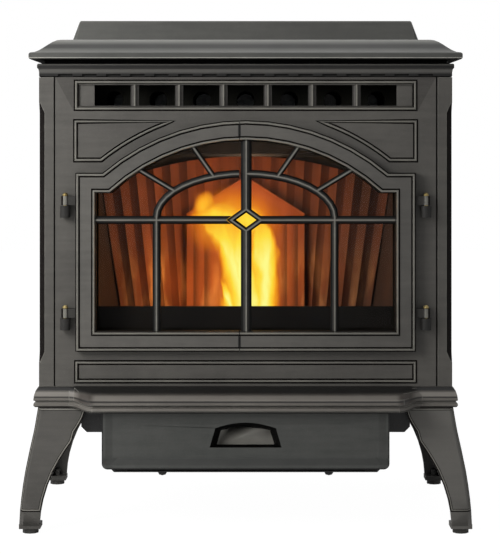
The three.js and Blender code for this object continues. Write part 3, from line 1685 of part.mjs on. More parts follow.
// Outline of a scroll about its axis, with the outlet along the first coordinate at the top
function scrollOutline(blower, reach, inset) {
  const largest = blower.radius + blower.growth;
  const lower = largest - blower.outlet + inset;
  const last = Math.PI + Math.PI + Math.asin(lower / (blower.radius - inset));
  const spiral = arc([0, 0], 1, Math.PI / 2, last, roundSides).map(([u, v], i) => {
    const radius = largest - (blower.growth * i) / roundSides - inset;
    return [u * radius, v * radius];
  });
  return [[reach, largest - inset], ...spiral, [reach, lower]];
}

function scrollHousing(blower) {
  const shape = (reach, inset) =>
    scrollOutline(blower, reach, inset).map(([u, v]) => [blower.y + blower.way * u, blower.z + v]);
  const [x0, x1] = [blower.x - blower.width / 2, blower.x + blower.width / 2];
  const outer = prismX(shape(blower.reach, 0), x0, x1);
  const hollow = prismX(shape(blower.reach + cutOverrun, scrollWall), x0 + scrollWall, x1 - scrollWall);
  const [shaftX, openX] = blower.motorSide < 0 ? [x0, x1] : [x1, x0];
  const through = (x) => [x - scrollWall - cutOverrun, x + scrollWall + cutOverrun, blower.y, blower.z];
  const shaftHole = rodX(wheelShaftRadius + clearance, ...through(shaftX), smallSides);
  return cut(outer, hollow, shaftHole, rodX(blower.inlet, ...through(openX)));
}

function exhaustHousing() {
  const [y, top] = [exhaustY + probeReach, exhaustTop];
  const [z0, z1] = [top - scrollWall - cutOverrun, top + cutOverrun];
  const hole = rodZ(probeRadius + clearance, exhaustX, y, z0, z1, smallSides);
  return cut(scrollHousing(exhaustBlower), hole);
}

// A wheel about the axis of its blower; its back plate and shaft are on the motor's side
function bladedWheel(blower) {
  const side = blower.motorSide;
  const half = blower.wheelWidth / 2;
  const disc = (radius, from, to, sides) => {
    const [x0, x1] = [blower.x + side * from, blower.x + side * to];
    return rodX(radius, Math.min(x0, x1), Math.max(x0, x1), blower.y, blower.z, sides);
  };
  const plate = disc(blower.wheelRadius, half - scrollWall, half, roundSides);
  const hub = disc(wheelHubRadius, half - wheelHubLength, half, smallSides);
  const shaftEnd = blower.width / 2 + clearance + motorShaftHole - runningGap;
  const shaft = disc(wheelShaftRadius, half - scrollWall, shaftEnd, smallSides);
  const bladeWidth = blower.wheelWidth - scrollWall / 2;
  const blades = Array.from({ length: blower.blades }, (_, i) => {
    const geometry = new THREE.BoxGeometry(bladeWidth, blower.bladeLength, bladeThickness);
    geometry.rotateX(blower.bladeTilt);
    const bladeMiddle = blower.wheelRadius - blower.bladeLength / 2 - bladeThickness;
    geometry.translate((-side * scrollWall) / 4, bladeMiddle, 0);
    geometry.rotateX((i / blower.blades) * (Math.PI + Math.PI));
    return solid(geometry.translate(blower.x, blower.y, blower.z));
  });
  if (blower.open) return join(plate, hub, shaft, ...blades);
  const rimEnd = -half + scrollWall;
  const rimBore = blower.wheelRadius - blower.bladeLength;
  const rim = cut(
    disc(blower.wheelRadius, -half, rimEnd, roundSides),
    disc(rimBore, -half - cutOverrun, rimEnd + cutOverrun, roundSides),
  );
  return join(plate, hub, shaft, ...blades, rim);
}

function blowerMotor(blower) {
  const near = blower.x + blower.motorSide * (blower.width / 2 + clearance);
  const along = (radius, from, to, sides) => {
    const [x0, x1] = [near + blower.motorSide * from, near + blower.motorSide * to];
    return rodX(radius, Math.min(x0, x1), Math.max(x0, x1), blower.y, blower.z, sides);
  };
  const can = along(blower.motorRadius, 0, blower.motorLength, roundSides);
  return cut(can, along(wheelShaftRadius + clearance, -cutOverrun, motorShaftHole, smallSides));
}

function smokeDuct() {
  const front = fireboxBack + clearance;
  const back = exhaustY + inletRadius + smokeDuctMargin;
  const bottom = exhaustBlower.z - inletRadius - sheetWall;
  const top = exhaustBlower.z + inletRadius + sheetWall;
  const outer = box(smokeLeft, smokeRight, front, back, bottom, top);
  const hollow = box(
    smokeLeft + sheetWall,
    smokeRight - sheetWall,
    front - cutOverrun,
    back - sheetWall,
    bottom + sheetWall,
    top - sheetWall,
  );
  const [x0, x1] = [smokeLeft - cutOverrun, smokeLeft + sheetWall + cutOverrun];
  return cut(outer, hollow, rodX(inletRadius - clearance, x0, x1, exhaustY, exhaustBlower.z));
}

function flueCollar() {
  const start = exhaustY + exhaustOutletReach + clearance;
  const end = rearBoxBack + flueStub;
  const flange = rodY(flueRadius + flueFlange, exhaustX, start, start + flueFlangeThickness, flueZ);
  const tube = rodY(flueRadius, exhaustX, start, end, flueZ);
  const bore = rodY(flueRadius - flueWall, exhaustX, start + flueFlangeThickness, end + cutOverrun, flueZ);
  const half = exhaustWidth / 2 - scrollWall;
  const rise = exhaustOutletHeight / 2 - scrollWall;
  const end0 = start - cutOverrun;
  const end1 = start + flueFlangeThickness + cutOverrun;
  const mouth = box(exhaustX - half, exhaustX + half, end0, end1, flueZ - rise, flueZ + rise);
  return cut(join(flange, tube), bore, mouth);
}

function exhaustProbe() {
  const profile = [
    [0, -probeLength],
    [probeRadius, -probeLength],
    [probeRadius, 0],
    [probeHeadRadius, 0],
    [probeHeadRadius, probeHeadHeight],
    [0, probeHeadHeight],
  ];
  return turned(profile, exhaustX, exhaustY + probeReach, exhaustTop + clearance, smallSides / 2);
}

// Upright duct from the room air blower to the back of the heat exchanger
function airRiser() {
  const [x0, x1] = [airX - airWidth / 2, airX + airWidth / 2];
  const [front, back] = [fireboxBack + clearance, fireboxBack + clearance + riserDepth];
  const bottom = airTop - airOutletHeight;
  const top = fireboxTop + exchangerHeight;
  const outer = box(x0, x1, front, back, bottom, top);
  const inner = [x0 + sheetWall, x1 - sheetWall];
  const hollow = box(...inner, front + sheetWall, back - sheetWall, bottom + sheetWall, top - sheetWall);
  const entryBottom = bottom + scrollWall;
  const entryFront = back - sheetWall - clearance;
  const entry = box(...inner, entryFront, back + cutOverrun, entryBottom, airTop - scrollWall);
  const exitBack = front + sheetWall + clearance;
  const exitBottom = fireboxTop + scrollWall;
  const exit = box(...inner, front - cutOverrun, exitBack, exitBottom, top - sheetWall);
  return cut(outer, hollow, entry, exit);
}

function airIntake() {
  const [y0, y1] = [fireboxBack + clearance, rearBoxBack + intakeStub];
  const tube = rodY(intakeRadius, intakeX, y0, y1, intakeZ);
  return cut(tube, rodY(intakeRadius - intakeWall, intakeX, y0 - cutOverrun, y1 + cutOverrun, intakeZ));
}

// Rear box, controls and power inlet

function rearCover() {
  const half = rearBoxWidth / 2;
  const front = bodyDepth + clearance;
  const bottom = faceBottom + rearBoxRise;
  const top = topUnderside - clearance;
  const outer = box(-half, half, front, rearBoxBack, bottom, top);
  const hollow = box(
    -half + sheetWall,
    half - sheetWall,
    front - cutOverrun,
    rearBoxBack - sheetWall,
    bottom + sheetWall,
    top + cutOverrun,
  );
  const through = [rearBoxBack - sheetWall - cutOverrun, rearBoxBack + cutOverrun];
  const louvres = [-1, 1].flatMap((side) =>
    Array.from({ length: louvreCount }, (_, i) => {
      const x = side * louvreReach;
      const z = bottom + louvreRise + louvrePitch * i;
      return box(x - louvreWidth / 2, x + louvreWidth / 2, ...through, z, z + louvreHeight);
    }),
  );
  const flue = rodY(flueRadius + runningGap, exhaustX, ...through, flueZ);
  const intake = rodY(intakeRadius + runningGap, intakeX, ...through, intakeZ);
  const inlet = box(
    inletPlugX - inletPlugWidth / 2 - clearance,
    inletPlugX + inletPlugWidth / 2 + clearance,
    ...through,
    inletZ - inletPlugHeight / 2 - clearance,
    inletZ + inletPlugHeight / 2 + clearance,
  );
  return cut(outer, hollow, ...louvres, flue, intake, inlet);
}

function controlBox() {
  const back = rearBoxBack - sheetWall - clearance;
  const right = rearBoxWidth / 2 - sheetWall - clearance;
  const bottom = faceBottom + controlRise;
  return box(right - controlWidth, right, back - controlDepth, back, bottom, bottom + controlHeight);
}

function powerInlet() {
  const half = inletPlugWidth / 2;
  const rise = inletPlugHeight / 2;
  const face = rearBoxBack + clearance + sheetWall;
  const deep = rearBoxBack - inletPlugDepth;
  const body = box(inletPlugX - half, inletPlugX + half, deep, face, inletZ - rise, inletZ + rise);
  const flange = box(
    inletPlugX - half - inletPlugFlange,
    inletPlugX + half + inletPlugFlange,
    rearBoxBack + clearance,
    face,
    inletZ - rise - inletPlugFlange,
    inletZ + rise + inletPlugFlange,
  );
  const recess = box(
    inletPlugX - half + sheetWall,
    inletPlugX + half - sheetWall,
    face - inletPinDepth,
    face + cutOverrun,
    inletZ - rise + sheetWall,
    inletZ + rise - sheetWall,
  );
  const pins = [-1, 0, 1].map((place) => {
    const x = inletPlugX + place * inletPinPitch;
    const z = inletZ + (place === 0 ? sheetWall : -sheetWall);
    const [w, h] = [inletPinWidth / 2, inletPinHeight / 2];
    return box(x - w, x + w, face - inletPinDepth - clearance, face - sheetWall, z - h, z + h);
  });
  return join(cut(join(body, flange), recess), ...pins);
}

// Ash drawer

// A flat face with round lower corners
function drawerOutline(inset) {
  const half = drawerWidth / 2 - inset;
  const top = drawerFaceUpper - inset;
  const bottom = drawerFaceLower + inset;
  const radius = drawerCorner;
  const right = arc([half - radius, bottom + radius], radius, -Math.PI / 2, 0, lipSteps);
  const left = arc([-half + radius, bottom + radius], radius, Math.PI, (Math.PI * 3) / 2, lipSteps);
  return [...right, [half, top], [-half, top], ...left];
}

// Outline of the pull, drawn in at the sides and the top
function pullOutline(inset) {
  const foot = drawerFaceLower + pullRise;
  const half = pullWidth / 2 - inset;
  const shoulder = foot + pullShoulder - inset / 2;
  const shoulderHalf = half - pullCornerInset;
  const apex = foot + pullHeight - inset;
  const rise = apex - shoulder;
  const radius = (shoulderHalf ** 2 + rise ** 2) / (rise + rise);
  const start = Math.asin((shoulder - apex + radius) / radius);
  const crown = arc([0, apex - radius], radius, start, Math.PI - start, fanSteps);
  return [[-half, foot], [half, foot], ...crown];
}

function ringAt(outline, y) {
  return outline.map(([x, z]) => [x, y, z]);
}

function ashDrawer() {
  const front = -drawerFaceFront;
  const back = front + drawerFaceThickness;
  const face = prismY(drawerOutline(0), front, back);
  const dishOuter = drawerOutline(drawerRim);
  const dishInner = drawerOutline(drawerRim + drawerDishRun);
  const dish = loft(
    [ringAt(dishOuter, front - clearance), ringAt(dishInner, front + drawerDish)],
    dishOuter,
    dishInner,
  );
  const half = drawerBoxWidth / 2;
  const bottom = drawerFaceLower + drawerBoxRise;
  const top = bottom + drawerBoxHeight;
  const end = back + drawerBoxDepth;
  const tray = box(-half, half, back - clearance, end, bottom, top);
  const trayHollow = box(
    -half + sheetWall,
    half - sheetWall,
    back + clearance,
    end - sheetWall,
    bottom + sheetWall,
    top + cutOverrun,
  );
  const cup = prismY(pullOutline(0), back - clearance, front + pullDepth + sheetWall);
  const mouth = pullOutline(0);
  const floor = pullOutline(pullSlope);
  const pocket = loft(
    [ringAt(mouth, front - clearance), ringAt(mouth, front + sheetWall), ringAt(floor, front + pullDepth)],
    mouth,
    floor,
  );
  return cut(join(cut(tray, trayHollow), cut(face, dish), cup), pocket);
}

// A box section with its lower corners cut off
function housingOutline(width, depth, inset) {
  const half = width / 2 - inset;
  const top = housingTop - inset;
  const foot = housingTop - depth + inset;
  return [
    [-half + housingStep, foot],
    [half - housingStep, foot],
    [half, foot + housingStep],
    [half, top],
    [-half, top],
    [-half, foot + housingStep],
  ];
}

function drawerHousing() {
  const shoulders = (inset) => housingOutline(housingShoulderWidth, housingShoulderDepth, inset);
  const waist = (inset) => housingOutline(housingWidth, housingHeight, inset);
  const mouth = -housingMouthReach;
  const inside = housingBack - sheetWall;
  const outer = join(
    prismY(shoulders(0), housingFront, housingBack),
    prismY(waist(0), mouth, housingBack),
  );
  const hollow = join(
    prismY(shoulders(sheetWall), housingFront + sheetWall, inside),
    prismY(waist(sheetWall), mouth - cutOverrun, inside),
  );
  const ash = box(
    -ashOpeningWidth / 2,
    ashOpeningWidth / 2,
    ashOpeningFront,
    ashOpeningFront + ashOpeningDepth,
    housingTop - sheetWall - cutOverrun,
    housingTop + cutOverrun,
  );
  const dome = boltHeadShares.map(([radius, height]) => {
    return [boltHeadRadius * radius, -boltHeadHeight * height];
  });
  const profile = [[0, -boltHeadHeight], ...dome, [0, dome[dome.length - 1][1]]];
  const y = mouth + boltHeadY;
  const heads = [-1, 1].map((side) => turned(profile, side * boltHeadReach, y, housingFoot, smallSides));
  return join(cut(outer, hollow, ash), ...heads);
}

function drawerRunner() {
  const outer = housingWidth / 2 - sheetWall - clearance;
  const floor = housingFoot + sheetWall + clearance;
  const top = drawerFaceLower + drawerBoxRise - clearance;
  const back = housingBack - sheetWall - clearance;
  const chamfer = housingStep;
  return prismY(
    [
      [-outer + chamfer, floor],
      [-outer + runnerWidth, floor],
      [-outer + runnerWidth, top],
      [-outer, top],
      [-outer, floor + chamfer],
    ],
    -housingMouthReach,
    back,
  );
}

// Materials

function material(name, color, roughness, metalness, opacity = 1) {
  const options = { color, roughness, metalness, opacity, transparent: opacity < 1 };
  const made = new THREE.MeshStandardMaterial(options);
  made.name = name;
  return made;
}

const castIron = material("cast_iron", 0x6b6865, 0.75, 0.2);
const castIronDark = material("cast_iron_dark", 0x4a4a4a, 0.75, 0.2);
const sheetSteel = material("black_sheet", 0x2b2b2c, 0.6, 0.3);
const plateSteel = material("firebox_plate", 0x3a3632, 0.8, 0.3);
const rustyLiner = material("liner", 0x7a4a2c, 0.85, 0.05);
const shroudIron = material("shroud", 0x9a5228, 0.8, 0.1);
const galvanised = material("galvanised", 0x9a9d9e, 0.45, 0.8);
const brass = material("brass", 0x9c8148, 0.4, 0.9);
const ropeFibre = material("rope", 0x4c4a46, 0.95, 0);
const glass = material("glass", 0xc9d0d2, 0.08, 0, 0.35);
const steel = material("steel", 0x8b8d8f, 0.35, 0.9);
const motorBlack = material("motor", 0x1f1f20, 0.5, 0.4);
const plastic = material("plastic", 0x1a1a1b, 0.55, 0);

// Assembly, drawn with the face of the stove at Y zero and then moved back to the middle

const stove = new THREE.Group();
stove.name = "pellet_stove";
const body = new THREE.Group();
body.position.y = (lipReach - rearBoxBack - flueStub) / 2;
stove.add(body);

function piece(name, shape, finish) {
  const mesh = new THREE.Mesh(geometryOf(shape), finish);
  mesh.geometry.computeVertexNormals();
  mesh.name = name;
  body.add(mesh);
  return mesh;
}

function mirrored(name, source, x, y) {
  const mesh = new THREE.Mesh(source.geometry, source.material);
  mesh.name = name;
  mesh.scale.set(x, y, 1);
  mesh.position.y = y < 0 ? bodyDepth : 0;
  body.add(mesh);
  return mesh;
}

function fourCorners(base, shape, finish) {
  const first = piece(`${base}_front_left`, shape, finish);
  mirrored(`${base}_front_right`, first, -1, 1);
  mirrored(`${base}_rear_left`, first, 1, -1);
  mirrored(`${base}_rear_right`, first, -1, -1);
}

piece("base_casting", baseCasting(), castIron);
fourCorners("leg", legSolid(), castIron);
fourCorners("levelling_foot", footSolid(), castIronDark);
const leftSide = piece("left_side_casting", sideCasting(), castIron);
mirrored("right_side_casting", leftSide, -1, 1);
piece("front_casting", frontCasting(), castIron);
piece("cornice", cornice(), castIron);
piece("top_plate", topPlate(), castIron);

piece("hopper_lid", hopperLid(), castIronDark);
piece("lid_gasket", lidGasket(), ropeFibre);
for (const x of lidHinges) {
  const pin = piece(x < 0 ? "lid_hinge_pin_left" : "lid_hinge_pin_right", lidPin(), steel);
  pin.position.set(x, lidAxisY, lidAxisZ);
}

piece("left_door", doorLeaf(-1), castIron);
piece("right_door", doorLeaf(1), castIron);
for (const [side, rise] of doorHinges) {
  const level = rise === upperHingeRise ? "upper" : "lower";
  const pin = piece(`door_hinge_pin_${side < 0 ? "left" : "right"}_${level}`, hingePin(), brass);
  pin.position.set(side * pinReach, -pinStandoff, doorBottom + rise);
}

piece("inner_door", innerDoor(), castIronDark);
piece("door_glass", doorGlass(), glass);
piece("glass_retainer", glassRetainer(), plateSteel);
piece("door_gasket", doorGasket(), ropeFibre);

piece("firebox", firebox(), plateSteel);
piece("pot_carrier", potCarrier(), plateSteel);
piece("burn_pot", burnPot(), castIronDark);
piece("igniter", igniter(), steel);
piece("liner_back", backLiner(), rustyLiner);
const leftLiner = piece("liner_left", sideLiner(), rustyLiner);
mirrored("liner_right", leftLiner, -1, 1);
piece("feed_shroud", feedShroud(), shroudIron);
piece("baffle_plate", baffle(), plateSteel);
piece("heat_exchanger", heatExchanger(), plateSteel);

piece("hopper", hopper(), galvanised);
piece("feed_tube", feedTube(), galvanised);
piece("auger", onScrewAxis(feedScrew()), steel);
piece("auger_motor", onScrewAxis(screwMotor()), motorBlack);

piece("smoke_duct", smokeDuct(), galvanised);
piece("exhaust_housing", exhaustHousing(), galvanised);
piece("exhaust_impeller", bladedWheel(exhaustBlower), steel);
piece("exhaust_motor", blowerMotor(exhaustBlower), motorBlack);
piece("exhaust_probe", exhaustProbe(), brass);
piece("flue_collar", flueCollar(), galvanised);
piece("air_riser", airRiser(), galvanised);
piece("air_blower_housing", scrollHousing(airBlower), galvanised);
piece("air_blower_wheel", bladedWheel(airBlower), galvanised);
piece("air_blower_motor", blowerMotor(airBlower), motorBlack);
piece("air_intake", airIntake(), galvanised);

piece("rear_cover", rearCover(), sheetSteel);
piece("control_box", controlBox(), plastic);
piece("power_inlet", powerInlet(), plastic);

piece("ash_drawer", ashDrawer(), castIron);
piece("drawer_housing", drawerHousing(), sheetSteel);
const leftRunner = piece("drawer_runner_left", drawerRunner(), plateSteel);
mirrored("drawer_runner_right", leftRunner, -1, 1);

export default stove;
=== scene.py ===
"""A cast iron pellet stove with its fire lit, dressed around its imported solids.

Metres, +Z up. The front of the stove faces -Y and its face stands at FACE.
"""

import json
import math
import random

import bpy
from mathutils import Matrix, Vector

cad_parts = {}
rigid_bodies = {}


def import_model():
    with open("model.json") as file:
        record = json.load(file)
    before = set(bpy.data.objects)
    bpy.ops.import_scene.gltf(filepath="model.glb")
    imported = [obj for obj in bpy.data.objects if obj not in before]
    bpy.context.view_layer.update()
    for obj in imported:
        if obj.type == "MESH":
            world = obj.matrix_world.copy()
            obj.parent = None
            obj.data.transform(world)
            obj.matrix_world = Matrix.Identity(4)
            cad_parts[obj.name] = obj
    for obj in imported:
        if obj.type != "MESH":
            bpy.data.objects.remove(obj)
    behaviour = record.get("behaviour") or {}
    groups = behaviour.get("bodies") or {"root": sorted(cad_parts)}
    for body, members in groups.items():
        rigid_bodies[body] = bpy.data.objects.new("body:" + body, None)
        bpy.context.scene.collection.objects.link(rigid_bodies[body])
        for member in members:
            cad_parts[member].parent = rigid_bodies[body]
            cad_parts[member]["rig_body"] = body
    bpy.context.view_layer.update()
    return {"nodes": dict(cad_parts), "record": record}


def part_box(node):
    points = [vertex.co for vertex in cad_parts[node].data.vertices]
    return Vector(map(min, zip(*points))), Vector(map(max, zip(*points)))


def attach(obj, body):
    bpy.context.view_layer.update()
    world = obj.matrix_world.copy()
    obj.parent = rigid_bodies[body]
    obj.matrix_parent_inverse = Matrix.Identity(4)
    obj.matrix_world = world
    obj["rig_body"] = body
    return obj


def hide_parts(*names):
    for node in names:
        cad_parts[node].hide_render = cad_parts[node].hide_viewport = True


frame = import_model()

MM = 0.001
SEED = 7

# Places that the looks are measured from, in metres
FACE = -0.261  # Y of the front face of the castings
LEAF_FRONT = FACE - 0.016  # Y of the front of the door leaves
BEHIND_GLASS = FACE + 0.034  # Y of the lamps just behind the door glass
SEAM = -0.0099  # X of the line between the door leaves
HINGE_LINE = 0.5 * sum(corner[0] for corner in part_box("door_hinge_pin_right_upper"))
BASE_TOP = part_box("base_casting")[1][2]
FACE_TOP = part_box("front_casting")[1][2]
CORNICE_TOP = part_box("cornice")[1][2]
DRAWER_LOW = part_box("ash_drawer")[0][2]
DRAWER_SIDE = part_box("ash_drawer")[1][0]
FRONT_FOOT, FRONT_HEAD = 0.2345, 0.7338  # Z of the two edges of the front casting
NOTCH_HEAD, CORNICE_HEAD = 0.7405, 0.7566  # Z of the cornice's notches and of its top
LIP_FOOT, LIP_HEAD = 0.7636, 0.7672  # Z of the lip below the ogee edge of the top
EDGE_TOP = 0.7973  # Z of the flat of the top
SIDE = 0.3355  # half width of the castings
SPAN = 0.35  # half width over which a colour shifts from one side to the other
POST_LINE = 0.3105  # X of the relief between the front and a corner post
CHAMFER_LINE = 0.322  # X past which a corner post is chamfered
GRILLE_SIDE = 0.243  # half width of the warm air grille
LEG_LOW, LEG_HIGH = 0.03, 0.1985  # Z of the broad front of a leg
PULL_SIDE = 0.0585  # half width of the drawer's pull
PULL_LOW, PULL_HIGH = 0.1415, 0.1825  # Z of the drawer's pull
SHELF_TOP = 0.3353  # Z of the shelf round the burn pot
POT_Y = FACE + 0.162  # Y of the middle of the burn pot
FLAME_FOOT = SHELF_TOP - 0.004
FOLDS = ((58, 71, 71.5, 73.5), (78, 90, 90.5, 92.5))  # painted shade of folds on the feed shroud, in millimetres
FOLD_HEAD, FOLD_END = 0.484, 0.490  # Z where these folds fade out
PALE_SHIFT = 0.03  # the palest part of the liners lies this far left of the middle
SHADED_SIDES = (0.11, 0.25)  # distance from there over which the painted shade sets in
PALE_FOOT = (0.37, 0.47)  # Z over which the pale foot of the liners ends

# Rounding of the solids' edges
MERGED = 0.01 * MM  # corners closer than this become one
LEVEL = math.radians(0.8)  # flat neighbours within this tilt become one face
ROUNDED = math.radians(28)  # sharper edges than this are rounded
SMOOTH = math.radians(34)  # flatter edges than this are shaded smooth
FLAT_WEIGHT = 80  # how much broad faces count in the shading

# The camera looks level from ahead, with its picture shifted down
CAMERA_PLACE = (0.0, -3.161, 0.633)
CAMERA_LENS = 116.06
CAMERA_SENSOR = 36
CAMERA_SHIFT = (0.0079, -0.2473)

# Strengths of the light that comes from all round and of the floor's own glow
WORLD_STRENGTH = 0.23
FLOOR_GLOW = 1.07
FLOOR_SHARE = 0.92


def srgb(red, green, blue):
    """A colour given in 0 to 255 as it looks on screen."""
    scaled = [value / 255 for value in (red, green, blue)]
    return tuple(
        [v / 12.92 if v <= 0.04045 else ((v + 0.055) / 1.055) ** 2.4 for v in scaled]
        + [1.0]
    )


WHITE = (1, 1, 1, 1)
# Colours of painted shade, a lighter and a deeper one
PAINTED_SHADE = srgb(16, 16, 16)
PAINTED_DEEP_SHADE = srgb(8, 8, 8)


# Materials


class Field:
    """The output of a shader node. Sums on it add Math nodes."""

    def __init__(self, nodes, socket):
        self.nodes = nodes
        self.socket = socket

    def math(self, operation, *values):
        settings = {"operation": operation}
        return self.nodes.node("ShaderNodeMath", settings, dict(enumerate(values)))

    def __add__(self, other):
        return self.math("ADD", self, other)

    def __sub__(self, other):
        return self.math("SUBTRACT", self, other)

    def __mul__(self, other):
        return self.math("MULTIPLY", self, other)

    def __truediv__(self, other):
        return self.math("DIVIDE", self, other)

    def __pow__(self, other):
        return self.math("POWER", self, other)

    def __rsub__(self, other):
        return self.math("SUBTRACT", other, self)

    __radd__ = __add__
    __rmul__ = __mul__

    def size(self):
        return self.math("ABSOLUTE", self)

    def at_least(self, other):
        return self.math("MAXIMUM", self, other)

    def at_most(self, other):
        return self.math("MINIMUM", self, other)

    def between(self, low, high):
        """Zero at low, one at high and smooth in between."""
        sockets = {"Value": self, "From Min": low, "From Max": high}
        settings = {"interpolation_type": "SMOOTHSTEP"}
        return self.nodes.node("ShaderNodeMapRange", settings, sockets)


class Nodes:
    """A tree of shader nodes, empty at first."""

    def __init__(self, tree):
        self.tree = tree
        self.tree.nodes.clear()

    def node(self, kind, settings=None, sockets=None, take=0):
        """Adds a node, fills its sockets with numbers or Fields and takes one output."""
        node = self.tree.nodes.new(kind)
        for key, value in (settings or {}).items():
            setattr(node, key, value)
        for key, value in (sockets or {}).items():
            if isinstance(value, Field):
                self.tree.links.new(value.socket, node.inputs[key])
            else:
                node.inputs[key].default_value = value
        return Field(self, node.outputs[take]) if node.outputs else None


class Finish(Nodes):
    """A material made of nodes."""

    def __init__(self, name):
        self.material = bpy.data.materials.new(name)
        self.material.use_nodes = True
        super().__init__(self.material.node_tree)

    def place(self):
        return self.node("ShaderNodeTexCoord", take="Object")

    def axis(self, name):
        return self.node("ShaderNodeSeparateXYZ", None, {0: self.place()}, name)

    def stretched(self, scale):
        sockets = {"Vector": self.place(), "Scale": scale}
        return self.node("ShaderNodeMapping", None, sockets)

    def noise(self, scale, detail=3, where=None, roughness=0.55):
        sockets = {
            "Vector": where or self.place(),
            "Scale": scale,
            "Detail": detail,
            "Roughness": roughness,
        }
        return self.node("ShaderNodeTexNoise", None, sockets)

    def blend(self, share, first, second):
        settings = {"data_type": "RGBA"}
        sockets = {0: share, 6: first, 7: second}
        return self.node("ShaderNodeMix", settings, sockets, 2)

    def ramp(self, share, stops):
        """Colours from a list of places, from 0 to 1, and the colour at each."""
        field = self.node("ShaderNodeValToRGB", None, {0: share})
        elements = field.socket.node.color_ramp.elements
        while len(elements) < len(stops):
            elements.new(1.0)
        for element, (place, colour) in zip(elements, stops):
            element.position = place
            element.color = colour
        return field

    def bump(self, height, distance, strength=1.0):
        sockets = {"Strength": strength, "Distance": distance, "Height": height}
        return self.node("ShaderNodeBump", None, sockets)

    def surface(self, sockets):
        return self.finish_with(self.node("ShaderNodeBsdfPrincipled", None, sockets))

    def finish_with(self, shader):
        self.node("ShaderNodeOutputMaterial", None, {"Surface": shader})
        return self.material


def cast_paint(name, low, high, roughness=0.5, grain=0.5, shine=0.32, shaded=None):
    """Heat-proof paint over a sand-cast skin: mottled, with fine pits and flecks.

    The argument shaded is a function that adds painted light and shade to the colour.
    """
    f = Finish(name)
    broad = f.noise(5, 3)
    mottle = f.noise(48, 4)
    streaks = f.noise(14, 3, f.stretched((1.0, 1.0, 9.0)))
    pits = f.noise(420, 3, roughness=0.7)
    shade = (broad * 0.9 + mottle * 0.5 + streaks * 0.6).between(0.65, 1.35)
    fleck = f.noise(1300, 1).between(0.62, 0.8)
    colour = f.blend(shade, low, high)
    colour = f.blend(fleck * 0.22, colour, srgb(150, 146, 138))
    # Painted shade: the colour darkens towards +X, the side away from the key light.
    far = f.axis("X").between(-SPAN, SPAN)
    colour = f.blend(far * 0.09, colour, PAINTED_SHADE)
    if shaded:
        colour = shaded(f, colour)
    height = pits * 0.7 + f.noise(1500, 1) * 0.3
    return f.surface(
        {
            "Base Color": colour,
            "Roughness": mottle * 0.16 + (roughness - 0.08),
            "Specular IOR Level": shine,
            "Normal": f.bump(height, 0.35 * MM, grain),
        }
    )


def band(depth, start, full, fade, end):
    """One from full to fade and zero before start and past end, all in millimetres."""
    rising = depth.between(start * MM, full * MM)
    return rising * (1.0 - depth.between(fade * MM, end * MM))


def base_painted_light(f, colour):
    """Painted light on the ash lip: a painted highlight band on its front, and painted
    shade in its scoops, hollow and groove, along the corner under the front and at its
    foot.
    """
    across = f.axis("X").size()
    ahead = FACE - f.axis("Y")
    drop = BASE_TOP - f.axis("Z")
    scoop = band(across, 238, 250, 264, 278)
    scoop = scoop * ahead.between(0.0, 5 * MM) * band(drop, 5, 10, 19, 26)
    front = ahead.between(-2 * MM, 0.0)
    bright = band(drop, 7, 10, 14, 16) * front
    colour = f.blend(bright * 0.4, colour, srgb(146, 142, 136))
    corner = (1.0 - drop.between(4.5 * MM, 9.5 * MM)) * 0.97
    hollow = band(drop, 14.8, 16.4, 17.4, 18.6) * 0.85
    groove = band(drop, 20.4, 21.6, 23.6, 25) * 0.75
    foot = drop.between(30 * MM, 31 * MM) * 0.7
    soot_and_shade = corner.at_least(hollow).at_least(groove).at_least(foot)
    colour = f.blend(scoop * 0.75, colour, srgb(36, 28, 23))
    return f.blend(soot_and_shade * front, colour, srgb(7, 7, 7))


def edge_bands(f, colour):
    """Painted highlights and painted shade in bands along the ogee edge of the top."""
    drop = EDGE_TOP - f.axis("Z")
    bright = srgb(128, 128, 123)
    dark = srgb(36, 36, 35)
    colour = f.blend(1.0 - drop.between(1 * MM, 8 * MM), colour, bright)
    colour = f.blend(band(drop, 6.5, 10.5, 13.5, 18) * 0.85, colour, dark)
    colour = f.blend(band(drop, 17, 20.5, 21.5, 25) * 0.2, colour, bright)
    return f.blend(band(drop, 22, 25.5, 29.5, 31) * 0.4, colour, dark)


def lip_shade(f, colour):
    """Painted shadow blacks out the lip below its upper part, which keeps its painted
    highlight.
    """
    drop = EDGE_TOP - f.axis("Z")
    return f.blend(drop.between(31.8 * MM, 32.6 * MM), colour, srgb(4, 4, 4))


def cornice_bands(f, colour):
    """Painted light in bands: a painted highlight on the fillet, painted shade in the
    hollow under it, a soft painted highlight on the swell and painted shade below.
    """
    drop = CORNICE_TOP - f.axis("Z")
    bright = srgb(92, 91, 88)
    colour = f.blend(band(drop, 0.2, 1.2, 2.2, 3.0) * 0.7, colour, bright)
    colour = f.blend(band(drop, 2.4, 3.4, 6.0, 9.5) * 0.8, colour, PAINTED_DEEP_SHADE)
    colour = f.blend(band(drop, 8, 11, 12.5, 15) * 0.6, colour, bright)
    return f.blend(drop.between(14.5 * MM, 17.5 * MM) * 0.9, colour, PAINTED_DEEP_SHADE)


def ridge_shade(crest, root):
    """Painted shade on bars, darkening from the crest to the root of each slope."""

    def shaded(f, colour):
        return f.blend(f.axis("Y").between(crest, root), colour, srgb(5, 5, 5))

    return shaded


def leaf_shade(f, colour):
    """Painted shade: a dark line where the two leaves meet, and a right leaf a little
    darker.
    """
    across = f.axis("X")
    colour = f.blend(across.between(0.05, 0.3) * 0.16, colour, PAINTED_SHADE)
    near = 1.0 - (across - SEAM).size().between(1.4 * MM, 3.0 * MM)
    return f.blend(near * 0.95, colour, srgb(6, 6, 6))


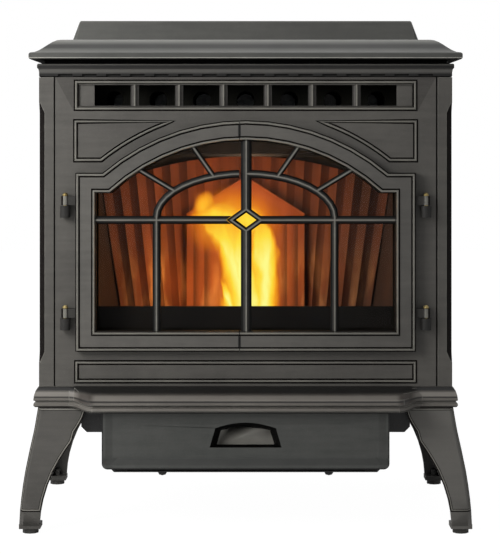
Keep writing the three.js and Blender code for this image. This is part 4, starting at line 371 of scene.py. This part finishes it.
def drawer_shade(f, colour):
    """Painted shade on the drawer's front: its rim and the slopes into its dish are darker.
    """
    rise = f.axis("Z") - DRAWER_LOW
    inward = DRAWER_SIDE - f.axis("X").size()
    slope = band(rise, 5, 8, 16, 20) * 0.42
    slope = slope.at_least(band(inward, 4, 7, 15, 19) * 0.25)
    rim = 1.0 - rise.at_most(inward).between(1.4 * MM, 2.6 * MM)
    front = (FACE - f.axis("Y")).between(36 * MM, 40 * MM)
    return f.blend(slope.at_least(rim * 0.95) * front, colour, PAINTED_DEEP_SHADE)


def leg_shade(f, colour):
    """Painted shade darkens the left leg and a painted highlight pales the right one."""
    across = f.axis("X")
    left = 1.0 - across.between(-SPAN, 0.0)
    right = across.between(0.0, SPAN)
    colour = f.blend(left * 0.24, colour, PAINTED_SHADE)
    return f.blend(right * 0.16, colour, srgb(150, 148, 144))


def sooty_plate(name, low, high, roughness=0.75, metallic=0.25, shine=0.2):
    """Plate under an uneven coat of soot."""
    f = Finish(name)
    soot_and_shade = (f.noise(16, 5) + f.noise(90, 3) * 0.4).between(0.45, 0.95)
    return f.surface(
        {
            "Base Color": f.blend(soot_and_shade, low, high),
            "Roughness": soot_and_shade * 0.15 + roughness,
            "Metallic": metallic,
            "Specular IOR Level": shine,
            "Normal": f.bump(f.noise(260, 3), 0.3 * MM, 0.4),
        }
    )


def zinc(name, low, high, roughness=0.42):
    """Galvanised sheet with its broad crystals."""
    f = Finish(name)
    settings = {"feature": "F1"}
    crystal = f.node("ShaderNodeTexVoronoi", settings, {"Scale": 70.0}, "Color")
    grey = f.node("ShaderNodeRGBToBW", None, {0: crystal})
    wear = f.noise(11, 4)
    return f.surface(
        {
            "Base Color": f.blend((grey * 0.6 + wear * 0.6).between(0.2, 1.0), low, high),
            "Roughness": grey * 0.12 + roughness,
            "Metallic": 0.75,
        }
    )


def bare_metal(name, low, high, roughness=0.32):
    """Turned metal with a few stains."""
    f = Finish(name)
    lines = f.noise(320, 2)
    stain = f.noise(60, 4).between(0.35, 0.75)
    return f.surface(
        {
            "Base Color": f.blend(stain, low, high),
            "Roughness": stain * 0.2 + roughness,
            "Metallic": 0.9,
            "Normal": f.bump(lines, 0.1 * MM, 0.3),
        }
    )


def moulded_plastic(name, low, high):
    """Plastic with a fine moulded grain."""
    f = Finish(name)
    return f.surface(
        {
            "Base Color": f.blend(f.noise(30, 3), low, high),
            "Roughness": f.noise(120, 2) * 0.1 + 0.45,
            "Normal": f.bump(f.noise(1600, 2), 0.08 * MM, 0.5),
        }
    )


def glass_rope(name):
    """Woven rope of glass fibre, for the gaskets."""
    f = Finish(name)
    settings = {"wave_type": "BANDS", "bands_direction": "DIAGONAL"}
    sockets = {"Scale": 260.0, "Distortion": 1.2}
    weave = f.node("ShaderNodeTexWave", settings, sockets, "Fac")
    fray = f.noise(900, 2)
    return f.surface(
        {
            "Base Color": f.blend(weave, srgb(46, 44, 42), srgb(96, 92, 86)),
            "Roughness": 0.95,
            "Normal": f.bump(weave * 0.8 + fray * 0.4, 0.8 * MM, 0.8),
        }
    )


def rust_liner(name, dark, mid, light, folds=False):
    """Cast liner burnt to rust: paler at its foot, and darker towards its sides as painted
    shade.

    With folds, two sharp creases on each side run up from the foot, drawn as painted shade.
    """
    f = Finish(name)
    streaks = f.noise(26, 4, f.stretched((1.0, 1.0, 0.16)))
    blotch = f.noise(9, 4)
    side = (f.axis("X") + PALE_SHIFT).size().between(*SHADED_SIDES)
    low = 1.0 - f.axis("Z").between(*PALE_FOOT)
    rust = (streaks * 0.9 + blotch * 0.7).between(0.5, 1.15)
    colour = f.blend(rust, dark, mid)
    pale = f.noise(30, 3, f.stretched((1.0, 1.0, 0.25))).between(0.45, 0.7)
    colour = f.blend(pale * (low * 0.85 + 0.05), colour, light)
    colour = f.blend(side * 0.6, colour, srgb(34, 18, 12))
    if folds:
        across = f.axis("X").size()
        inner, outer = [band(across, *fold) for fold in FOLDS]
        fold = inner.at_least(outer) * (1.0 - f.axis("Z").between(FOLD_HEAD, FOLD_END))
        colour = f.blend(fold * 0.6, colour, srgb(30, 14, 8))
    return f.surface(
        {
            "Base Color": colour,
            "Roughness": 0.85,
            "Normal": f.bump(f.noise(300, 4), 0.5 * MM, 0.6),
        }
    )


def smoked_glass(name):
    """Clear glass with a brown film of smoke."""
    f = Finish(name)
    smear = f.noise(7, 5).between(0.45, 0.9)
    return f.surface(
        {
            "Base Color": f.blend(smear, srgb(18, 15, 13), srgb(60, 50, 42)),
            "Roughness": smear * 0.12 + 0.04,
            "Alpha": smear * 0.06 + 0.07,
        }
    )


IRON = cast_paint("iron_paint", srgb(70, 68, 65), srgb(84, 82, 78))
IRON_BASE = cast_paint(
    "base_paint", srgb(84, 80, 76), srgb(102, 98, 93), shaded=base_painted_light
)
IRON_TOP = cast_paint(
    "top_paint", srgb(74, 75, 72), srgb(88, 88, 85), shaded=edge_bands
)
IRON_LID = cast_paint("lid_paint", srgb(71, 71, 69), srgb(84, 84, 81))
IRON_LEAF = cast_paint(
    "leaf_paint", srgb(77, 75, 72), srgb(91, 89, 85), shaded=leaf_shade
)
IRON_LEG = cast_paint("leg_paint", srgb(70, 68, 65), srgb(84, 82, 78), shaded=leg_shade)
# The rear legs take a darker copy of the legs' paint, as painted shade under the stove.
IRON_REAR = cast_paint("rear_leg_painted_shade", srgb(50, 49, 47), srgb(64, 63, 60))
IRON_DARK = cast_paint("dark_iron_paint", srgb(50, 50, 48), srgb(64, 63, 60))
KNUCKLE = cast_paint("knuckle_paint", srgb(34, 34, 33), srgb(48, 47, 46), shine=0.15)
DRAWER = cast_paint(
    "drawer_paint", srgb(56, 58, 56), srgb(70, 71, 69), shaded=drawer_shade
)
# Painted shade for grooves and edges that lie in shade, and a near-black painted shadow for
# recesses.
GROOVE = cast_paint("groove_painted_shade", srgb(10, 8, 8), srgb(20, 16, 15), 0.8, 0.3, 0.08)
SHADOW = cast_paint("recess_painted_shadow", srgb(5, 5, 5), srgb(10, 10, 10), 0.85, 0.3, 0.04)
BAR = cast_paint(
    "bar_paint",
    srgb(48, 47, 46),
    srgb(60, 59, 57),
    0.6,
    0.3,
    0.1,
    ridge_shade(FACE - 12.2 * MM, FACE - 10.6 * MM),
)
FIN = cast_paint(
    "fin_paint",
    srgb(66, 64, 62),
    srgb(80, 78, 75),
    0.6,
    0.3,
    0.15,
    ridge_shade(FACE + 2.6 * MM, FACE + 3.6 * MM),
)
# The cornice's paint is darker than the iron's, as painted shade under the overhang of the
# top.
CORNICE = cast_paint(
    "cornice_painted_shade",
    srgb(58, 57, 56),
    srgb(71, 70, 68),
    shine=0.2,
    shaded=cornice_bands,
)
# A painted highlight along the lip below the ogee edge.
LIP = cast_paint(
    "lip_painted_highlight",
    srgb(150, 149, 143),
    srgb(176, 174, 167),
    0.35,
    shaded=lip_shade,
)
# Paler paint for rounded edges, partly wear and partly painted highlight, and a painted
# highlight on the floor of the drawer's pull.
EDGE = cast_paint("edge_paint", srgb(104, 103, 98), srgb(124, 122, 116), 0.4)
# A painted highlight for beads and for the crests of bars.
BEAD = cast_paint("bead_painted_highlight", srgb(100, 99, 94), srgb(122, 120, 113), 0.4)
SHEET = cast_paint("sheet_paint", srgb(30, 30, 31), srgb(44, 44, 45), 0.42, 0.2)
PLATE = sooty_plate("sooted_plate", srgb(14, 13, 12), srgb(28, 25, 22))
TUBES = sooty_plate("tube_black", srgb(20, 20, 18), srgb(28, 28, 25), 0.9, 0.0, 0.02)
CEILING = sooty_plate("sooted_ceiling", srgb(40, 34, 29), srgb(66, 57, 48))
FIREBOX = sooty_plate("sooted_firebox", srgb(44, 38, 33), srgb(74, 64, 55))
POT_IRON = sooty_plate("burnt_pot_iron", srgb(34, 26, 22), srgb(78, 52, 38), 0.7, 0.4)
LINER = rust_liner(
    "rusted_liner", srgb(84, 46, 30), srgb(150, 84, 52), srgb(206, 156, 108)
)
# The side liners take a darker copy of the back liner's rust, as painted shade.
LINER_SIDE = rust_liner(
    "rusted_side_liner_shaded", srgb(30, 15, 8), srgb(56, 27, 14), srgb(76, 46, 28)
)
SHROUD = rust_liner(
    "rusted_shroud", srgb(136, 72, 42), srgb(178, 102, 60), srgb(214, 150, 98), True
)
ZINC = zinc("zinc_coat", srgb(128, 131, 133), srgb(172, 175, 177))
STEEL = bare_metal("turned_steel", srgb(120, 121, 122), srgb(168, 168, 168))
BRASS = bare_metal("aged_brass", srgb(134, 118, 76), srgb(204, 186, 134), 0.38)
MOTOR = cast_paint("motor_enamel", srgb(24, 24, 26), srgb(36, 36, 38), 0.35, 0.15)
PLASTIC = moulded_plastic("black_plastic", srgb(20, 20, 21), srgb(32, 32, 33))
ROPE = glass_rope("glass_rope")
GLASS = smoked_glass("smoked_glass")

# Finish of each solid, and the width of its rounded edges in millimetres
CAST_PIECES = {
    "base_casting": (IRON_BASE, 1.3),
    "leg_front_left": (IRON_LEG, 0.0),
    "leg_front_right": (IRON_LEG, 0.0),
    "leg_rear_left": (IRON_REAR, 1.2),
    "leg_rear_right": (IRON_REAR, 1.2),
    "left_side_casting": (IRON, 0.8),
    "right_side_casting": (IRON, 0.8),
    "front_casting": (IRON, 0.5),
    "cornice": (CORNICE, 0.7),
    "top_plate": (IRON_TOP, 0.9),
    "hopper_lid": (IRON_LID, 1.6),
    "left_door": (IRON_LEAF, 0.45),
    "right_door": (IRON_LEAF, 0.45),
    "ash_drawer": (DRAWER, 1.4),
    "levelling_foot_front_left": (IRON_DARK, 0.7),
    "levelling_foot_front_right": (IRON_DARK, 0.7),
    "levelling_foot_rear_left": (IRON_DARK, 0.7),
    "levelling_foot_rear_right": (IRON_DARK, 0.7),
    # The inner door takes the near-black painted shadow.
    "inner_door": (SHADOW, 0.8),
    "burn_pot": (POT_IRON, 0.5),
    "feed_shroud": (SHROUD, 0.7),
    "liner_back": (LINER, 0.6),
    "liner_left": (LINER_SIDE, 0.5),
    "liner_right": (LINER_SIDE, 0.5),
    "drawer_housing": (SHEET, 0.5),
    "rear_cover": (SHEET, 0.4),
    "pot_carrier": (PLATE, 0.5),
    "baffle_plate": (CEILING, 0.4),
    "firebox": (FIREBOX, 0.4),
    "heat_exchanger": (TUBES, 0.4),
    "glass_retainer": (TUBES, 0.3),
    "drawer_runner_left": (PLATE, 0.4),
    "drawer_runner_right": (PLATE, 0.4),
    "door_hinge_pin_left_upper": (BRASS, 0.3),
    "door_hinge_pin_left_lower": (BRASS, 0.3),
    "door_hinge_pin_right_upper": (BRASS, 0.3),
    "door_hinge_pin_right_lower": (BRASS, 0.3),
    "lid_hinge_pin_left": (STEEL, 0.3),
    "lid_hinge_pin_right": (STEEL, 0.3),
    "door_glass": (GLASS, 0.2),
    "door_gasket": (ROPE, 0.0),
    "lid_gasket": (ROPE, 1.0),
    "igniter": (STEEL, 0.3),
    "auger": (STEEL, 0.2),
    "exhaust_impeller": (STEEL, 0.2),
    "exhaust_probe": (BRASS, 0.3),
    "hopper": (ZINC, 0.3),
    "feed_tube": (ZINC, 0.3),
    "smoke_duct": (ZINC, 0.3),
    "exhaust_housing": (ZINC, 0.4),
    "flue_collar": (ZINC, 0.4),
    "air_riser": (ZINC, 0.3),
    "air_blower_housing": (ZINC, 0.4),
    "air_blower_wheel": (ZINC, 0.2),
    "air_intake": (ZINC, 0.3),
    "auger_motor": (MOTOR, 0.8),
    "exhaust_motor": (MOTOR, 0.8),
    "air_blower_motor": (MOTOR, 0.8),
    "control_box": (PLASTIC, 0.8),
    "power_inlet": (PLASTIC, 0.4),
}

# Solids with narrow rims, whose flat faces stay in triangles so that the rims stay open
RIMMED = ("ash_drawer", "top_plate", "smoke_duct")

# Paints that get a paler line along the edges, partly wear and partly painted highlight
WORN_AND_HIGHLIGHTED = (IRON, IRON_BASE, IRON_LID, IRON_LEAF, IRON_REAR)

SLOTS = {row["node"]: row["material_slot"] for row in frame["record"]["subparts"]}


# Pieces


def only(piece):
    """Selects this piece alone."""
    bpy.ops.object.select_all(action="DESELECT")
    piece.select_set(True)
    bpy.context.view_layer.objects.active = piece


def apply_modifier(piece, kind, **settings):
    only(piece)
    modifier = piece.modifiers.new(kind.lower(), kind)
    for key, value in settings.items():
        setattr(modifier, key, value)
    bpy.ops.object.modifier_apply(modifier=modifier.name)


def dressed(piece, body, slot, *nodes):
    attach(piece, body)
    if nodes:
        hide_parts(*nodes)
    return piece


def softened(node, finish, edge):
    """A copy of a solid with its edges rounded and its curved faces smooth."""
    pale_edged = finish in WORN_AND_HIGHLIGHTED
    source = frame["nodes"][node]
    piece = source.copy()
    piece.data = source.data.copy()
    piece.name = f"{node}_finished"
    piece.parent = None
    for key in list(piece.keys()):
        del piece[key]
    piece.hide_render = False
    piece.hide_viewport = False
    bpy.context.scene.collection.objects.link(piece)
    piece.data.materials.clear()
    piece.data.materials.append(finish)
    if pale_edged:
        piece.data.materials.append(EDGE)
    only(piece)
    bpy.ops.object.mode_set(mode="EDIT")
    bpy.ops.mesh.select_all(action="SELECT")
    bpy.ops.mesh.remove_doubles(threshold=MERGED)
    if node not in RIMMED:
        bpy.ops.mesh.dissolve_limited(angle_limit=LEVEL)
    bpy.ops.object.mode_set(mode="OBJECT")
    if edge:
        apply_modifier(
            piece,
            "BEVEL",
            width=edge * MM,
            segments=2,
            limit_method="ANGLE",
            angle_limit=ROUNDED,
            use_clamp_overlap=True,
            material=1 if pale_edged else -1,
        )
    only(piece)
    bpy.ops.object.shade_smooth_by_angle(angle=SMOOTH)
    if edge:
        apply_modifier(piece, "WEIGHTED_NORMAL", keep_sharp=True, weight=FLAT_WEIGHT)
    return dressed(piece, source["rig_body"], SLOTS[node], node)


def tinted(piece, finish, chosen):
    """Gives the faces that pass a test a finish of their own."""
    piece.data.materials.append(finish)
    index = len(piece.data.materials) - 1
    for face in piece.data.polygons:
        if chosen(face.center, face.normal):
            face.material_index = index


def ringed(piece, chosen, rings, inside=None):
    """Borders of the given widths, in millimetres, round the chosen faces."""
    only(piece)
    bpy.context.tool_settings.mesh_select_mode = (False, False, True)
    bpy.ops.object.mode_set(mode="EDIT")
    bpy.ops.mesh.select_all(action="DESELECT")
    bpy.ops.object.mode_set(mode="OBJECT")
    for face in piece.data.polygons:
        face.select = chosen(face.center, face.normal)
    bpy.ops.object.mode_set(mode="EDIT")
    for finish, width in rings:
        piece.data.materials.append(finish)
        piece.active_material_index = len(piece.data.materials) - 1
        bpy.ops.object.material_slot_assign()
        bpy.ops.mesh.inset(thickness=width * MM, depth=0.0, use_even_offset=True)
    piece.active_material_index = 0
    if inside:
        piece.data.materials.append(inside)
        piece.active_material_index = len(piece.data.materials) - 1
    bpy.ops.object.material_slot_assign()
    bpy.ops.object.mode_set(mode="OBJECT")


made = {node: softened(node, *look) for node, look in CAST_PIECES.items()}

# Tests on the faces of a piece. Each is given the middle c of a face and its normal n,
# where n.y is -1 for a face that looks straight ahead.


def in_groove(plane, deep):
    """The walls of a groove that is cut into a flat front."""
    low, high = plane + 0.25 * MM, plane + deep
    return lambda c, n: low < c.y < high and abs(n.y) < 0.96


def on_bead(plane):
    """The round of a bead that stands ahead of a flat front."""
    low, high = plane - 3.2 * MM, plane - 1.2 * MM
    return lambda c, n: low < c.y < high and n.y < -0.3


def side_groove(c, n):
    """The walls of the groove round the panel of a side casting."""
    depth = SIDE - abs(c.x)
    return 0.25 * MM < depth < 2.2 * MM and abs(n.x) < 0.96 and c.y > FACE + 20 * MM


def on_bar_flank(c, n):
    """The slopes of the bars, which fall back from their crests."""
    return LEAF_FRONT + 1.2 * MM < c.y < FACE - 1 * MM


def on_bar_crest(c, n):
    """The narrow flats along the crests of the bars."""
    return LEAF_FRONT + 0.5 * MM < c.y < LEAF_FRONT + 1.5 * MM and n.y < -0.96


def on_fin(c, n):
    """The slopes of the uprights between the openings of the grille."""
    height = FACE_TOP - c.z
    within = 12 * MM < height < 47 * MM and abs(c.x) < GRILLE_SIDE
    return within and c.y > FACE - 0.5 * MM


def at_seam(c, n):
    """The edges of the two leaves where they meet."""
    return abs(c.x - SEAM) < 1.8 * MM and abs(n.y) < 0.98


def in_pull(c):
    """Within the outline of the drawer's pull."""
    return abs(c.x) < PULL_SIDE and PULL_LOW < c.z < PULL_HIGH


def pull_wall(c, n):
    """The wall of the pull's pocket, above and beside its floor."""
    return FACE - 51.2 * MM < c.y < FACE - 31 * MM and in_pull(c) and abs(n.y) < 0.9


def pull_floor(c, n):
    """The floor of the pull's pocket."""
    return FACE - 40 * MM < c.y < FACE - 28 * MM and in_pull(c) and n.y < -0.95


def on_knuckle(c, n):
    """The knuckles of the door hinges, ahead of the face."""
    return abs(abs(c.x) - HINGE_LINE) < 10 * MM and c.y < FACE - 2 * MM


def outer_knuckle(c, n):
    """The half of a knuckle that is turned away from the window."""
    return on_knuckle(c, n) and n.x * c.x > 0.3 * abs(c.x)


def leg_front(c, n):
    """The broad front of a leg below its seat."""
    return n.y < -0.55 and LEG_LOW < c.z < LEG_HIGH


def beside_post(c, n):
    """The relief between a corner post and the front, and the stopped chamfer."""
    behind = FACE + 0.3 * MM < c.y < FACE + 6 * MM
    relief = behind and abs(abs(c.x) - POST_LINE) < 2.5 * MM
    outside = abs(c.x) > CHAMFER_LINE and c.y < FACE + 9 * MM
    chamfer = outside and abs(n.x) > 0.3 and n.y < -0.3 and abs(n.z) < 0.5
    return relief or chamfer


def front_head(c, n):
    """The upper edge of the front casting, under the cornice."""
    return c.z > FRONT_HEAD


def front_foot(c, n):
    """The lower edge of the front casting, on the base."""
    return c.z < FRONT_FOOT


def on_lip(c, n):
    """The underside of the lip below the ogee edge."""
    return LIP_FOOT < c.z < LIP_HEAD and n.z < -0.1


def under_lip(c, n):
    """What lies below the lip of the top."""
    return c.z < LIP_FOOT


def cornice_shadow(c, n):
    """The top of the cornice, and the insides of the notches at its foot."""
    return c.z > CORNICE_HEAD or (n.y > -0.9 and c.z < NOTCH_HEAD)


# Painted light and shade: beads and the lip get painted highlights, and grooves, recesses,
# the fins' slopes and edges that lie in shade get painted shade
TINTS = (
    ("front_casting", GROOVE, in_groove(FACE, 2.2 * MM)),
    ("front_casting", BEAD, on_bead(FACE)),
    ("front_casting", FIN, on_fin),
    ("front_casting", GROOVE, front_head),
    ("front_casting", SHADOW, front_foot),
    ("front_casting", KNUCKLE, on_knuckle),
    ("top_plate", LIP, on_lip),
    ("top_plate", SHADOW, under_lip),
    ("cornice", SHADOW, cornice_shadow),
    ("ash_drawer", SHADOW, pull_wall),
)
# On the door leaves: painted shade in the grooves, on the bars' slopes, at the seam and on
# the outer halves of the knuckles, and painted highlights on the beads and the bars'
# crests.
LEAF_TINTS = (
    (GROOVE, in_groove(LEAF_FRONT, 2.2 * MM)),
    (BAR, on_bar_flank),
    (BEAD, on_bead(LEAF_FRONT)),
    (SHADOW, at_seam),
    (GROOVE, outer_knuckle),
    (BEAD, on_bar_crest),
)

for node, finish, chosen in TINTS:
    tinted(made[node], finish, chosen)
# Painted shadow round the floor of the drawer's pull, with a painted highlight on the floor
# inside it.
ringed(made["ash_drawer"], pull_floor, [(SHADOW, 1.8)], EDGE)
for side in ("left", "right"):
    leg = made[f"leg_front_{side}"]
    # The legs' fronts get a painted outline: painted shade, then a painted highlight, then
    # painted shade.
    ringed(leg, leg_front, [(GROOVE, 2.0), (BEAD, 1.8), (GROOVE, 1.0)])
    for finish, chosen in LEAF_TINTS:
        tinted(made[f"{side}_door"], finish, chosen)
    tinted(made[f"{side}_side_casting"], GROOVE, side_groove)
    tinted(made[f"{side}_side_casting"], GROOVE, beside_post)


# Fire

# Tongues of the flame: place of the foot, lean, curl, height and half width, in metres
TONGUES = (
    (-0.004, 0.0, -0.084, 0.222, 0.050),
    (0.026, 0.035, -0.060, 0.220, 0.036),
    (0.004, -0.008, -0.030, 0.208, 0.044),
    (-0.030, -0.006, -0.012, 0.070, 0.015),
)

# Glowing gas above them: middle, height above the floor, half width, half height, heat
HALOS = (
    (-0.018, 0.490, 0.085, 0.072, 0.34),
    (0.0, 0.494, 0.032, 0.034, 0.64),
    (-0.044, 0.506, 0.052, 0.022, 0.60),
    (-0.070, 0.522, 0.018, 0.026, 0.44),
)

# Colours of the flame, from the coolest to the hottest
FLAME_STOPS = (
    (0.00, (0.45, 0.07, 0.004, 1)),
    (0.20, (0.78, 0.20, 0.008, 1)),
    (0.42, (1.00, 0.44, 0.018, 1)),
    (0.68, (1.00, 0.74, 0.050, 1)),
    (1.00, (1.00, 0.97, 0.260, 1)),
)
FLAME_STRENGTH = 1.14
FLAME_COVER = 0.8  # how much the hottest part hides

SHEET_DEPTHS = (-0.026, -0.009, 0.008, 0.024)  # of the flame sheets, from the pot's middle
SHEET_WIDTH = 0.30
SHEET_HEIGHT = 0.232
SHEET_RISE = 0.118  # middle of a flame sheet above the shelf

# Rings of pellets: how many, radius and height above the floor in millimetres
EMBER_RINGS = ((12, 34, 300), (12, 30, 306), (9, 20, 312), (4, 8, 317))
EMBER_SQUASH = 0.68  # depth of a ring over its width


def tongue(f, x, z, foot, lean, curl, height, half):
    """How deep a point lies in one tongue of flame, from 1 on its axis to 0."""
    rise = ((z - FLAME_FOOT) / height).at_least(0.0)
    axis = rise * lean + rise * rise * curl + foot
    wide = (1.0 - rise).at_least(0.02) ** 0.6 * half
    body = 1.0 - (x - axis).size() / wide
    return body.at_most((1.0 - rise) * 1.6).at_least(0.0)


def halo(x, z, middle, height, half, tall, heat):
    """The heat of one cloud of gas, which fades to 0 at its outline."""
    across = (x - middle) / half
    up = (z - height) / tall
    glow = 1.0 - (across * across + up * up)
    return glow.at_least(0.0) * heat


def flame(name):
    """Flame that glows on clear sheets, licked by noise."""
    f = Finish(name)
    swirl = f.noise(17, 3, f.stretched((1.0, 1.0, 0.45)))
    flick = f.noise(70, 3, f.stretched((1.0, 1.0, 0.3)))
    x = f.axis("X") + (swirl - 0.5) * 0.05 + (flick - 0.5) * 0.012
    z = f.axis("Z") + (swirl - 0.5) * 0.03
    heat = tongue(f, x, z, *TONGUES[0])
    for shape in TONGUES[1:]:
        heat = heat.at_least(tongue(f, x, z, *shape))
    for shape in HALOS:
        heat = heat.at_least(halo(x, z, *shape))
    wisps = f.noise(75, 3, f.stretched((1.0, 1.0, 0.14)))
    heat = heat * (wisps * 0.5 + 0.82)
    glow = f.ramp(heat, FLAME_STOPS)
    sockets = {"Color": glow, "Strength": FLAME_STRENGTH}
    light = f.node("ShaderNodeEmission", None, sockets)
    clear = f.node("ShaderNodeBsdfTransparent")
    share = heat.between(0.0, 0.6) * FLAME_COVER
    mixed = f.node("ShaderNodeMixShader", None, {0: share, 1: clear, 2: light})
    return f.finish_with(mixed)


FLAME = flame("flame")


def flame_sheet(index, depth):
    """One curved sheet of the flame, upright above the pot.

    It casts no shadow, so that the light of the fire reaches the liners.
    """
    bpy.ops.object.select_all(action="DESELECT")
    bpy.ops.mesh.primitive_grid_add(
        x_subdivisions=28,
        y_subdivisions=30,
        size=1,
        location=(0.0, POT_Y + depth, SHELF_TOP + SHEET_RISE),
        rotation=(math.pi / 2, 0, 0),
    )
    piece = bpy.context.object
    piece.name = f"flame_sheet_{index}"
    piece.scale = (SHEET_WIDTH, SHEET_HEIGHT, 1)
    bpy.ops.object.transform_apply(location=True, rotation=True, scale=True)
    for vertex in piece.data.vertices:
        rise = vertex.co.z - SHELF_TOP
        wave = math.sin(vertex.co.x * 34 + index) * 0.006 + math.sin(rise * 30) * 0.005
        vertex.co.y += wave * (0.4 + rise * 3)
    piece.data.materials.append(FLAME)
    piece.visible_shadow = False
    only(piece)
    bpy.ops.object.shade_smooth()
    return dressed(piece, "stove", "shroud")


for index, depth in enumerate(SHEET_DEPTHS):
    flame_sheet(index, depth)


def ember(name):
    """Charred wood that glows in its cracks."""
    f = Finish(name)
    crack = f.noise(120, 4).between(0.42, 0.66)
    colour = f.blend(crack, srgb(40, 22, 14), srgb(120, 60, 26))
    glow = f.ramp(crack, [(0.0, (0.02, 0.0, 0.0, 1)), (1.0, (1.0, 0.30, 0.03, 1))])
    return f.surface(
        {
            "Base Color": colour,
            "Roughness": 0.9,
            "Emission Color": glow,
            "Emission Strength": 1.4,
        }
    )


EMBER = ember("ember")


def ember_bed():
    """Glowing pellets heaped in the pot, each a short snapped stick."""
    random.seed(SEED)
    bpy.ops.object.select_all(action="DESELECT")
    bpy.ops.mesh.primitive_cylinder_add(vertices=8, radius=3.2 * MM, depth=16 * MM)
    first = bpy.context.object
    apply_modifier(first, "BEVEL", width=0.5 * MM, segments=1)
    sticks = []
    for ring, (count, radius, height) in enumerate(EMBER_RINGS):
        for i in range(count):
            stick = first.copy()
            stick.data = first.data.copy()
            bpy.context.scene.collection.objects.link(stick)
            turn = 2 * math.pi * (i + 0.5 * ring) / count
            x = radius * MM * math.cos(turn)
            y = POT_Y + radius * EMBER_SQUASH * MM * math.sin(turn)
            stick.location = (x, y, height * MM)
            stick.rotation_euler = (
                random.uniform(1.2, 1.9),
                random.uniform(-0.3, 0.3),
                random.uniform(0, 6.28),
            )
            sticks.append(stick)
    bpy.data.objects.remove(first)
    bpy.ops.object.select_all(action="DESELECT")
    for stick in sticks:
        stick.select_set(True)
    bpy.context.view_layer.objects.active = sticks[0]
    bpy.ops.object.join()
    bpy.ops.object.transform_apply(location=True, rotation=True, scale=True)
    piece = bpy.context.object
    piece.name = "ember_bed"
    piece.data.materials.clear()
    piece.data.materials.append(EMBER)
    return dressed(piece, "stove", "shroud")


ember_bed()


# Light, floor and camera


def lamp(name, kind, place, aim, energy, size, colour, cone=0):
    """A light. A point lamp has no aim, and only a spot has a cone, in degrees."""
    data = bpy.data.lights.new(name, kind)
    data.energy = energy
    data.color = colour
    if kind == "AREA":
        data.shape = "DISK"
        data.size = size
    else:
        data.shadow_soft_size = size
    if cone:
        data.spot_size = math.radians(cone)
        data.spot_blend = 0.8
    lamp_object = bpy.data.objects.new(name, data)
    lamp_object.location = place
    if aim:
        way = Vector(aim) - Vector(place)
        lamp_object.rotation_euler = way.to_track_quat("-Z", "Y").to_euler()
    bpy.context.scene.collection.objects.link(lamp_object)


lamp("key", "AREA", (-1.2, -1.3, 1.15), (0, 0, 0.45), 27, 1.0, (1.0, 0.99, 0.97))
lamp("fill", "AREA", (2.6, -2.4, 1.2), (0, 0, 0.4), 2, 2.4, (0.97, 0.98, 1.0))
lamp("top", "AREA", (0.0, 0.9, 3.2), (0, 0, 0.6), 12, 2.0, (1.0, 1.0, 1.0))

# The fire lights the firebox from within the flame and from behind the glass
FIRE_COLOUR = (1.0, 0.50, 0.18)
BAFFLE_GLOW = (1.0, 0.78, 0.6)
IN_FLAME = POT_Y - 0.02
lamp("fire_low", "POINT", (-0.030, IN_FLAME, 0.385), None, 0.42, 0.035, FIRE_COLOUR)
lamp("fire_high", "POINT", (-0.015, IN_FLAME, 0.50), None, 0.75, 0.04, FIRE_COLOUR)
near = (0.0, BEHIND_GLASS, 0.46)
lamp("fire_near", "SPOT", near, (0, 0, 0.46), 0.8, 0.03, FIRE_COLOUR, 165)
for side, energy, height in ((-1, 1.0, 0.38), (1, 0.12, 0.44)):
    place = (side * 0.125, BEHIND_GLASS, 0.43)
    aim = (side * 0.132, -0.05, height)
    lamp(f"fire_side_{side}", "SPOT", place, aim, energy, 0.03, FIRE_COLOUR, 42)
above = (0.0, BEHIND_GLASS, 0.636)
lamp("glow_above", "SPOT", above, (0, 0, 0.636), 1.0, 0.03, BAFFLE_GLOW, 130)


def studio():
    """A white surround that lights the stove only a little."""
    scene = bpy.context.scene
    scene.world = bpy.data.worlds.new("studio")
    scene.world.use_nodes = True
    w = Nodes(scene.world.node_tree)
    ahead = w.node("ShaderNodeLightPath", take="Is Camera Ray")
    mirrored = w.node("ShaderNodeLightPath", take="Is Glossy Ray")
    through = w.node("ShaderNodeLightPath", take="Is Transmission Ray")
    seen = ahead.at_least(mirrored.at_least(through))
    sockets = {"Color": WHITE, "Strength": WORLD_STRENGTH}
    dim = w.node("ShaderNodeBackground", None, sockets)
    white = w.node("ShaderNodeBackground", None, {"Color": WHITE})
    mixed = w.node("ShaderNodeMixShader", None, {0: seen, 1: dim, 2: white})
    w.node("ShaderNodeOutputWorld", None, {"Surface": mixed})
    scene.view_settings.view_transform = "Standard"


studio()


def pale_floor():
    """A floor that looks nearly white and still takes the stove's shadow."""
    bpy.ops.object.select_all(action="DESELECT")
    bpy.ops.mesh.primitive_plane_add(size=14, location=(0, 0, 0))
    floor = bpy.context.object
    floor.name = "floor"
    f = Finish("pale_floor")
    sockets = {"Base Color": (0.92, 0.92, 0.92, 1), "Roughness": 0.9}
    paint = f.node("ShaderNodeBsdfPrincipled", None, sockets)
    sockets = {"Color": WHITE, "Strength": FLOOR_GLOW}
    white = f.node("ShaderNodeEmission", None, sockets)
    seen = f.node("ShaderNodeLightPath", take="Is Camera Ray")
    mixed = f.node("ShaderNodeMixShader", None, {0: seen * FLOOR_SHARE, 1: paint, 2: white})
    floor.data.materials.append(f.finish_with(mixed))


pale_floor()


def front_camera():
    data = bpy.data.cameras.new("camera")
    data.lens = CAMERA_LENS
    data.sensor_width = CAMERA_SENSOR
    data.shift_x, data.shift_y = CAMERA_SHIFT
    camera = bpy.data.objects.new("camera", data)
    camera.location = CAMERA_PLACE
    camera.rotation_euler = (math.pi / 2, 0, 0)
    bpy.context.scene.collection.objects.link(camera)
    bpy.context.scene.camera = camera


front_camera()
